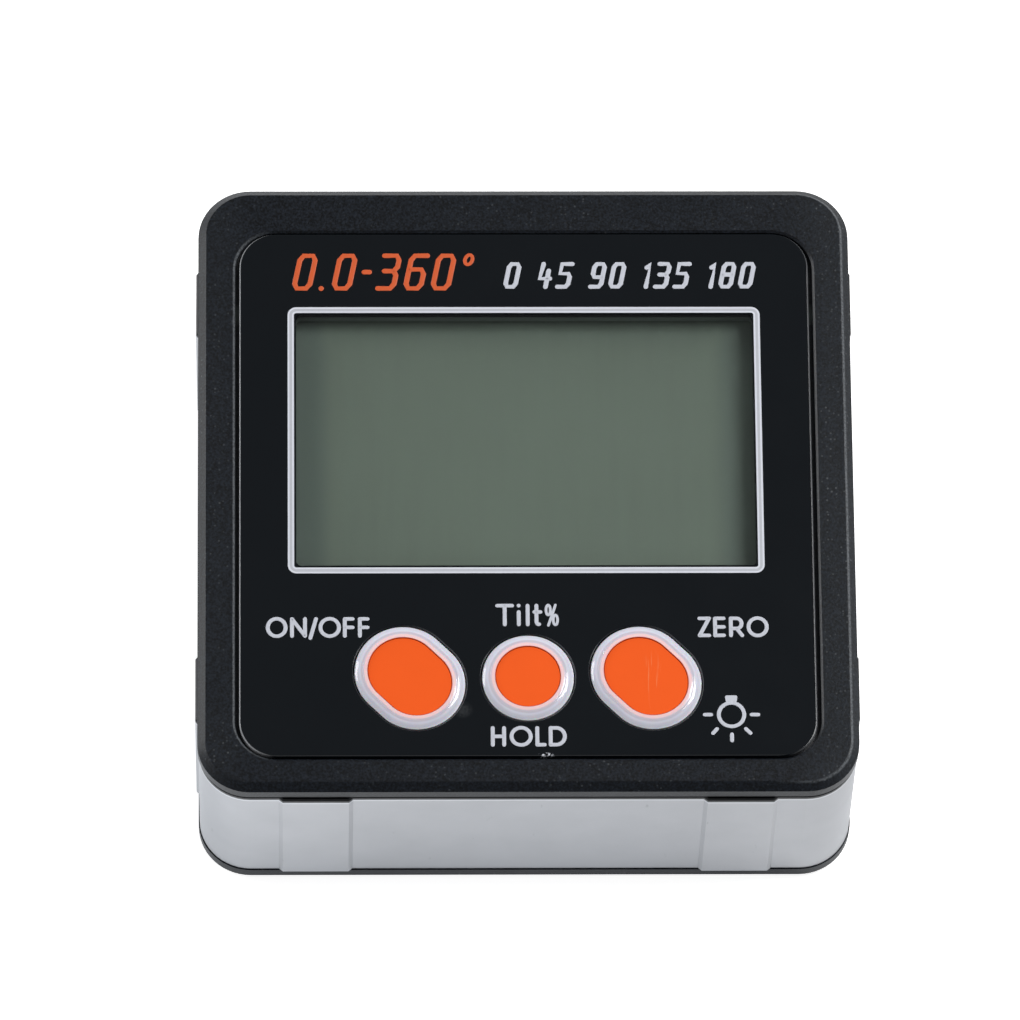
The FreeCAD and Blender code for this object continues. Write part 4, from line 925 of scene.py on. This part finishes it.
class INCLINOMETER_OT_face_panel(Operator):
    """Glossy film of the face, with the pale line round the display"""

    bl_idname = "inclinometer.face_panel"
    bl_label = "Face panel"

    def execute(self, context):
        put_on(glossy_panel(), "face_panel")
        prints, finish = settings().prints, settings().finish
        middle = (OPENING_LOW + OPENING_HIGH) / 2
        reach = prints.line_gap + prints.line_width
        clear_selection()
        bpy.ops.mesh.primitive_plane_add(
            size=2, location=(middle.x - prints.line_left, middle.y, FACE_SURFACE),
        )
        line = context.object
        line.scale = (OPENING_HIGH.x - middle.x + reach, OPENING_HIGH.y - middle.y + reach, 1)
        settle(line, "frame_line")
        line.data.materials.append(ink("line_ink", finish.line_ink))
        line.data.materials.append(
            ink("line_ink_middle", [share * 0.72 for share in finish.line_ink])
        )
        bpy.ops.object.mode_set(mode="EDIT")
        bpy.ops.mesh.select_all(action="SELECT")
        bpy.ops.mesh.bevel(offset=prints.line_radius, segments=8, affect="VERTICES")
        bpy.ops.mesh.select_all(action="SELECT")
        # brighter edges on both sides of a duller middle
        middle_width = prints.line_width - 2 * prints.line_edge
        for slot, width in ((1, prints.line_edge), (0, middle_width), (0, prints.line_edge)):
            bpy.ops.mesh.inset(thickness=width, depth=0)
            line.active_material_index = slot
            bpy.ops.object.material_slot_assign()
        bpy.ops.mesh.delete(type="FACE")
        bpy.ops.mesh.select_all(action="SELECT")
        raise_faces(prints.ink_height)
        bpy.ops.object.mode_set(mode="OBJECT")
        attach(line, "case")
        return {"FINISHED"}


class INCLINOMETER_OT_labels(Operator):
    """Key labels and plain range numbers in ink"""

    bl_idname = "inclinometer.labels"
    bl_label = "Labels"

    def execute(self, context):
        prints, finish = settings().prints, settings().finish
        white = ink("white_ink", finish.white_ink)
        orange = ink("orange_ink", finish.orange_ink)
        for name, up, word in LABELS:
            write(name, word, up, prints.stroke, white, GLYPHS)
        shapes = {glyph: NUMBERS[glyph][1] for glyph in NUMBERS}
        rows = ((LARGE_ROW, prints.bold_stroke, orange), (SMALL_ROW, prints.number_stroke, white))
        for (name, text, across, up), stroke, colour in rows:
            word = spread(text, across, up, ROW_SLANT)
            write(name, word, up, stroke, colour, shapes, slant=ROW_SLANT)
        return {"FINISHED"}


class INCLINOMETER_OT_lamp_mark(Operator):
    """Pictogram of a lamp beside the right key: a ring, a cap and five rays"""

    bl_idname = "inclinometer.lamp_mark"
    bl_label = "Lamp mark"

    def execute(self, context):
        prints = settings().prints
        white = ink("white_ink_mark", settings().finish.white_ink)
        lines = []
        for outline in (LAMP_RING, *LAMP_RAYS):
            places = [(x * MM, y * MM) for x, y in outline]
            lines.append((*round_ended(places, prints.stroke / 2), 1.0))
        mark = draw_lines("lamp_mark", lines, prints.stroke, white)
        cap = self.add_cap(context, prints.ink_height * CAP_INK_SHARE)
        cap.data.materials.append(white)
        clear_selection()
        cap.select_set(True)
        mark.select_set(True)
        context.view_layer.objects.active = mark
        bpy.ops.object.join()
        return {"FINISHED"}

    def add_cap(self, context, ink_height):
        """The lamp's cap: a plate that is wider at its head, with rounded corners."""
        (foot_half, foot), (head_half, head) = LAMP_CAP
        clear_selection()
        bpy.ops.mesh.primitive_plane_add(
            size=1, location=(LAMP_MIDDLE * MM, (foot + head) / 2 * MM, FACE_SURFACE),
        )
        cap = context.object
        cap.scale = (2 * foot_half * MM, (head - foot) * MM, 1)
        settle(cap, "lamp_cap")
        bpy.ops.object.mode_set(mode="EDIT")
        pick_points(cap, lambda spot: spot.y > (foot + head) / 2 * MM)
        bpy.ops.transform.resize(value=(head_half / foot_half, 1, 1))
        bpy.ops.mesh.bevel(offset=CAP_CORNER, segments=4, affect="VERTICES")
        bpy.ops.mesh.select_all(action="SELECT")
        raise_faces(ink_height)
        bpy.ops.object.mode_set(mode="OBJECT")
        return cap


class INCLINOMETER_OT_keys(Operator):
    """Three keys: a pale clear rim, curved down to its outside, round an orange face"""

    bl_idname = "inclinometer.keys"
    bl_label = "Keys"

    def execute(self, context):
        rim, face = key_rim_plastic(), key_face_plastic()
        for name in KEY_NAMES:
            self.build_key(context, name, rim)
            put_on(face, "key_face_" + name)
        return {"FINISHED"}

    def build_key(self, context, name, rim):
        """A cap grown from its stem: flange, wall, curved rim and the face's pocket."""
        low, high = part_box("key_" + name)
        face_low, face_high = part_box("key_face_" + name)
        middle = (low + high) / 2
        radius, stretch = KEY_SIZES[name]
        key = self.grow_flange(context, "key_cap_" + name, middle, low.z, radius, stretch)
        raise_faces(high.z - settings().keys.rise - COVER_INSIDE)
        section = self.rim_section(high.z - face_high.z + FACE_GAP)
        for (before, lower), (place, height) in zip(section, section[1:]):
            bpy.ops.mesh.inset(thickness=place - before, depth=height - lower)
        raise_faces(face_low.z - face_high.z + FACE_GAP)
        bpy.ops.mesh.select_all(action="SELECT")
        bpy.ops.mesh.normals_make_consistent(inside=False)
        bpy.ops.object.mode_set(mode="OBJECT")
        self.mark_rim(key.data, middle, radius, stretch)
        key.data.materials.append(rim)
        bpy.ops.object.shade_smooth_by_angle(angle=math.radians(35))
        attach(key, "key_" + name)
        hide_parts("key_" + name)

    def grow_flange(self, context, name, middle, foot, radius, stretch):
        """The stem with the flange on it, left in edit mode with its upper face selected."""
        clear_selection()
        bpy.ops.mesh.primitive_circle_add(
            vertices=128, radius=KEY_STEM, fill_type="NGON", location=(middle.x, middle.y, foot),
        )
        key = context.object
        settle(key, name)
        bpy.ops.object.mode_set(mode="EDIT")
        bpy.ops.mesh.select_all(action="SELECT")
        raise_faces(COVER_INSIDE - KEY_FLANGE - foot)
        raise_faces(0)
        wide = (radius + KEY_FLANGE_REACH) / KEY_STEM
        bpy.ops.transform.resize(value=(wide, wide, 1))
        for way in (1, -1) if stretch else ():
            pick_points(key, lambda spot: (
                way * ((spot.x - middle.x) - (spot.y - middle.y)) > 1e-7
                and (spot - middle).xy.length > KEY_STEM * 1.5
            ))
            bpy.ops.transform.translate(value=(way * stretch, -way * stretch, 0))
        pick_faces(key, lambda centre, normal: (
            centre.z > foot + NEAR and abs(normal.z) > 0.9
            and (centre - middle).xy.length < NEAR
        ))
        raise_faces(KEY_FLANGE)
        bpy.ops.mesh.inset(thickness=KEY_FLANGE_REACH, depth=0)
        return key

    def rim_section(self, face_drop):
        """The rim from its outside in, as distances and heights above its straight wall."""
        keys = settings().keys
        half_groove = keys.groove_width / 2
        steps = 10
        places = [keys.crest * (1 - math.cos(math.pi / 2 * n / steps)) for n in range(steps + 1)]
        places += [keys.groove_place - half_groove, keys.groove_place]
        places += [keys.groove_place + half_groove]
        section = []
        low = math.sqrt(1 - keys.roundness ** 2)
        for place in sorted(places):
            short_of = keys.roundness * (1 - place / keys.crest)
            height = keys.rise * (math.sqrt(1 - min(1.0, short_of ** 2)) - low) / (1 - low)
            if place == keys.groove_place:
                height -= keys.groove
            section.append((place, height))
        # from the crest down to the face, slowly at first
        slope = KEY_RING - keys.crest
        section.append((keys.crest + slope * 0.3, keys.rise - face_drop * 0.12))
        section.append((KEY_RING, keys.rise - face_drop))
        return section

    def mark_rim(self, mesh, middle, radius, stretch):
        """Notes at each point how far across the rim it lies, from the face's edge outwards."""
        along = Vector((1, -1)).normalized()
        run = stretch * math.sqrt(2)
        shares = []
        for vertex in mesh.vertices:
            spot = (vertex.co - middle).xy
            reach = max(-run, min(run, spot.dot(along)))
            away = (spot - along * reach).length - (radius - KEY_RING)
            shares.append(max(0.0, min(1.0, away / KEY_RING)))
        mesh.attributes.new("outward", "FLOAT", "POINT").data.foreach_set("value", shares)


# Plain finishes: name, colour, roughness, other choices and the nodes that have it

DISPLAY_FINISHES = (
    ("float_glass", "b9c6bf", 0.08, {"grain": 4.0, "relief": 0.0, "spread": 0.97},
     ("front_glass", "rear_glass")),
    ("rear_polariser_film", "8f9a90", 0.3, {"grain": 2.0}, ("rear_polariser",)),
    ("light_guide_acrylic", "e6eeea", 0.2, {"grain": 0.8}, ("light_guide",)),
    ("reflector_film", "f2f2ee", 0.5, {"grain": 0.5}, ("reflector_film",)),
    ("contact_silicone", "3a3432", 0.6, {"grain": 0.15, "relief": 0.01, "spread": 1.8},
     ("contact_strip_lower", "contact_strip_upper")),
    ("frame_abs", "e3e1da", 0.5, {"grain": 0.4}, ("display_frame",)),
    ("lamp_resin", "f4f3e6", 0.3, {"grain": 0.4}, ("backlight_lamp",)),
    ("foam_rubber", "17181a", 0.95, {"grain": 0.25, "relief": 0.06, "spread": 0.5},
     ("display_gasket",)),
)
BOARD_FINISHES = (
    ("solder_mask", "1f5c36", 0.35, {"grain": 1.2, "relief": 0.01, "spread": 0.7},
     ("main_board",)),
    ("moulded_epoxy", "1b1b1d", 0.55, {"grain": 0.1},
     ("controller_chip", "tilt_sensor", "voltage_regulator")),
    ("drawn_steel_can", "b9b8b2", 0.25, {"metallic": 1.0}, ("crystal",)),
    ("tan_ceramic", "a98a66", 0.6, {"grain": 0.1},
     [f"capacitor_{index}" for index in range(1, 5)]),
    ("black_ceramic", "20201f", 0.5, {"grain": 0.1},
     [f"resistor_{index}" for index in range(1, 5)]),
    ("switch_nylon", "1d1d1f", 0.5, {}, ["switch_base_" + name for name in KEY_NAMES]),
    ("tinned_steel", "bcbcb8", 0.3, {"metallic": 1.0, "grain": 0.4},
     ["switch_plate_" + name for name in KEY_NAMES]),
    ("switch_plunger_nylon", "2b2b2e", 0.4, {},
     ["switch_plunger_" + name for name in KEY_NAMES]),
)
POWER_FINISHES = (
    ("nickel_plated_steel", "c6c4bc", 0.28, {"metallic": 1.0, "grain": 0.5},
     ("plus_contact", "minus_contact", "bridge_contact", "bridge_spring", "minus_spring")),
    ("nickel_plating", "cfcdc6", 0.18, {"metallic": 1.0, "grain": 0.8},
     ("magnet_left", "magnet_right")),
)
SCREW_FINISHES = (
    ("zinc_plated_steel", "a9a8a4", 0.32, {"metallic": 1.0, "grain": 0.25},
     ("cover_screws", "board_screws")),
)
# The cells' coloured band and their bare ends, as lengths from the nearer end
CELL_BAND, CELL_HEAD, CELL_FOOT = 14 * MM, 1.7 * MM, 0.4 * MM


def put_on_plain(finishes):
    """Gives the nodes of a table their plain finishes."""
    for name, code, roughness, choices, nodes in finishes:
        put_on(plain_finish(name, code, roughness, **choices), *nodes)


class INCLINOMETER_OT_display(Operator):
    """Clear window with the display, its glasses, films and frame"""

    bl_idname = "inclinometer.display"
    bl_label = "Display"

    def execute(self, context):
        put_on(clear_window(), "display_window")
        put_on(display_film(), "front_polariser")
        put_on_plain(DISPLAY_FINISHES)
        return {"FINISHED"}


class INCLINOMETER_OT_board(Operator):
    """Circuit board with its chips and the push switches"""

    bl_idname = "inclinometer.board"
    bl_label = "Board"

    def execute(self, context):
        put_on_plain(BOARD_FINISHES)
        return {"FINISHED"}


class INCLINOMETER_OT_power(Operator):
    """Cells, contacts, springs and magnets"""

    bl_idname = "inclinometer.power"
    bl_label = "Power"

    def execute(self, context):
        put_on(self.wrapped_cell(), "battery_left", "battery_right")
        put_on_plain(POWER_FINISHES)
        return {"FINISHED"}

    def wrapped_cell(self):
        """Printed film shrunk on a steel can: plain colours, with bare steel at both ends."""
        material, tree, shader = start_material("printed_shrink_film")
        place = add_node(tree, "TexCoord").outputs["Object"]
        spot = add_node(tree, "SeparateXYZ", {"Vector": place})
        # the two cells lie head to foot, so the length is counted from each one's foot
        side = add_node(tree, "Math", {0: spot.outputs["X"]}, operation="SIGN")
        along = add_node(tree, "Math", {0: side, 1: spot.outputs["Y"]}, operation="MULTIPLY")
        low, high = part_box("battery_right")
        band, head, foot = (
            add_node(tree, "Math", {0: along, 1: limit}, operation=test)
            for limit, test in (
                (low.y + CELL_BAND, "LESS_THAN"), (low.y + CELL_HEAD, "LESS_THAN"),
                (high.y - CELL_FOOT, "GREATER_THAN"),
            )
        )
        bare = add_node(tree, "Math", {0: head, 1: foot}, operation="MAXIMUM")
        scuffs = add_node(
            tree, "TexNoise", {"Vector": place, "Scale": per_metre(0.6), "Detail": 3.0}
        )
        colour = layered(
            tree, opaque(linear("25282c")),
            (band, opaque(linear("b8732f"))), (bare, opaque(linear("c6c4bc"))),
        )
        gloss = add_node(tree, "MapRange", {"Value": scuffs, "To Min": 0.25, "To Max": 0.4})
        wire(tree, shader, {"Base Color": colour, "Metallic": bare, "Roughness": gloss})
        return material


class INCLINOMETER_OT_screws(Operator):
    """Zinc plated screws of the covers and of the board"""

    bl_idname = "inclinometer.screws"
    bl_label = "Screws"

    def execute(self, context):
        put_on_plain(SCREW_FINISHES)
        return {"FINISHED"}


# Softboxes: name, place and width in metres, and power in watts
LAMPS = (
    ("right_softbox", (0.63, 0.25, 1.0), 0.5, 10.0),
    ("left_softbox", (-1.05, 0.45, 0.3), 0.5, 4.5),
    ("front_softbox", (-0.25, -0.75, 1.0), 1.0, 2.0),
)
# The floor's glow to the eye, and in reflections: its change along an axis, from where to
# where in millimetres, and the levels there
FLOOR_SEEN = 0.81
FLOOR_MIRRORED = (
    ("Y", -34, 60, 0.52, 0.22), ("X", -36, -12, 0.2, 0.0), ("X", 8, 30, 0.0, -0.19),
    ("Y", -42, -34, 0.0, 0.07),
)
# The camera as fitted to the photo: turns in degrees, the point that it is set out from, that
# point as the camera sees it, both in millimetres, and the lens
CAMERA_TURNS = (("Z", 0.07), ("Y", 1.172), ("X", -23.604))
CAMERA_AIM, CAMERA_SHIFT = (0, 0, 21.7), (1.46, 2.31, -1005.46)
FOCAL_PIXELS, PICTURE_PIXELS, SENSOR_WIDTH = 11000, 1020, 36.0


class INCLINOMETER_OT_stage(Operator):
    """Pale floor, soft studio light and the camera"""

    bl_idname = "inclinometer.stage"
    bl_label = "Stage"

    def execute(self, context):
        scene = context.scene
        scene.view_settings.view_transform = "Standard"
        self.add_floor(context)
        self.add_world(scene)
        for name, place, size, power in LAMPS:
            self.add_lamp(context, name, place, size, power)
        self.add_camera(scene)
        return {"FINISHED"}

    def add_floor(self, context):
        """A wide matt floor that looks white and keeps the shadow."""
        clear_selection()
        bpy.ops.mesh.primitive_plane_add(size=6, location=(0, 0, -0.02 * MM))
        floor = context.object
        settle(floor, "floor")
        material, tree, shader = start_material("pale_floor")
        wire(tree, shader, {
            "Base Color": (0.86, 0.86, 0.86, 1.0), "Roughness": 0.9,
            "Specular IOR Level": 0.0,
        })
        both = add_node(tree, "AddShader", {0: shader, 1: self.floor_glow(tree)})
        wire(tree, tree.nodes["Material Output"], {"Surface": both})
        floor.data.materials.append(material)

    def floor_glow(self, tree):
        """White to the eye; in reflections cooler, dimmer behind the object than before it."""
        rays = add_node(tree, "LightPath")
        seen = add_node(
            tree, "Math",
            {0: rays.outputs["Is Camera Ray"], 1: rays.outputs["Is Transmission Ray"]},
            operation="MAXIMUM",
        )
        bright = add_node(tree, "Math", {0: seen, 1: FLOOR_SEEN}, operation="MULTIPLY")
        place = add_node(tree, "TexCoord").outputs["Object"]
        spot = add_node(tree, "SeparateXYZ", {"Vector": place})
        level = 0.0
        for axis, start, end, low, high in FLOOR_MIRRORED:
            share = add_node(tree, "MapRange", {
                "Value": spot.outputs[axis], "From Min": start * MM, "From Max": end * MM,
                "To Min": low, "To Max": high,
            })
            level = add_node(tree, "Math", {0: level, 1: share}, operation="ADD")
        glossy = rays.outputs["Is Glossy Ray"]
        strength = add_node(
            tree, "Math", {0: glossy, 1: level, 2: bright}, operation="MULTIPLY_ADD"
        )
        tint = layered(tree, (1.0, 1.0, 1.0, 1.0), (glossy, (0.9, 0.945, 1.0, 1.0)))
        return add_node(tree, "Emission", {"Color": tint, "Strength": strength})

    def add_world(self, scene):
        """A room dim overhead and in front, pale towards the other walls, white to the eye."""
        world = bpy.data.worlds.new("studio_room")
        scene.world = world
        world.use_nodes = True
        tree = world.node_tree
        way = add_node(tree, "TexCoord").outputs["Generated"]
        spot = add_node(tree, "SeparateXYZ", {"Vector": way})
        walls = add_node(tree, "MapRange", {
            "Value": spot.outputs["Z"], "From Min": 0.1, "From Max": 0.7,
            "To Min": 0.9, "To Max": 0.16,
        })
        front = add_node(tree, "MapRange", {
            "Value": spot.outputs["Y"], "From Min": -0.85, "From Max": -0.2,
            "To Min": 0.12, "To Max": 1.0,
        })
        dim = add_node(tree, "Math", {0: walls, 1: front}, operation="MULTIPLY")
        rays = add_node(tree, "LightPath").outputs["Is Camera Ray"]
        strength = add_node(tree, "Mix", {"Factor": rays, "A": dim, "B": 1.0})
        wire(tree, tree.nodes["Background"], {
            "Color": (0.97, 0.985, 1.0, 1.0), "Strength": strength,
        })

    def add_lamp(self, context, name, place, size, power):
        """A square softbox aimed at the object."""
        clear_selection()
        bpy.ops.object.light_add(type="AREA", location=place)
        lamp = context.object
        lamp.name = name
        lamp.data.size = size
        lamp.data.energy = power
        lamp.rotation_euler = (-Vector(place)).to_track_quat("-Z", "Y").to_euler()

    def add_camera(self, scene):
        """A long lens from the measuring base's side, turned as the fit to the photo says."""
        turn = Matrix.Identity(3)
        for axis, degrees in CAMERA_TURNS:
            turn = turn @ Matrix.Rotation(math.radians(degrees), 3, axis)
        data = bpy.data.cameras.new("camera")
        data.sensor_width = SENSOR_WIDTH
        data.lens = FOCAL_PIXELS / PICTURE_PIXELS * SENSOR_WIDTH
        data.clip_start, data.clip_end = 0.01, 20.0
        camera = bpy.data.objects.new("camera", data)
        scene.collection.objects.link(camera)
        back = turn.transposed()
        eye = Vector(CAMERA_AIM) * MM - back @ (Vector(CAMERA_SHIFT) * MM)
        camera.matrix_world = Matrix.Translation(eye) @ back.to_4x4()
        scene.camera = camera


PIECES = (
    INCLINOMETER_OT_covers,
    INCLINOMETER_OT_metal_band,
    INCLINOMETER_OT_face_panel,
    INCLINOMETER_OT_labels,
    INCLINOMETER_OT_lamp_mark,
    INCLINOMETER_OT_keys,
    INCLINOMETER_OT_display,
    INCLINOMETER_OT_board,
    INCLINOMETER_OT_power,
    INCLINOMETER_OT_screws,
    INCLINOMETER_OT_stage,
)


class INCLINOMETER_PT_sidebar(Panel):
    """Lists the pieces of the inclinometer"""

    bl_label = "Inclinometer"
    bl_idname = "INCLINOMETER_PT_sidebar"
    bl_space_type = "VIEW_3D"
    bl_region_type = "UI"
    bl_category = "Inclinometer"

    def draw(self, context):
        for piece in PIECES:
            self.layout.operator(piece.bl_idname)


CLASSES = (
    FinishSettings,
    PrintSettings,
    KeySettings,
    InclinometerSettings,
    *PIECES,
    INCLINOMETER_PT_sidebar,
)


def register():
    for item in CLASSES:
        bpy.utils.register_class(item)
    bpy.types.Scene.inclinometer = PointerProperty(type=InclinometerSettings)


def unregister():
    del bpy.types.Scene.inclinometer
    for item in reversed(CLASSES):
        bpy.utils.unregister_class(item)


def main():
    """Builds every piece in order."""
    register()
    for piece in PIECES:
        group, name = piece.bl_idname.split(".")
        result = getattr(getattr(bpy.ops, group), name)()
        if "FINISHED" not in result:
            raise RuntimeError(piece.bl_label + " wasn't finished")


if __name__ == "__main__":
    main()
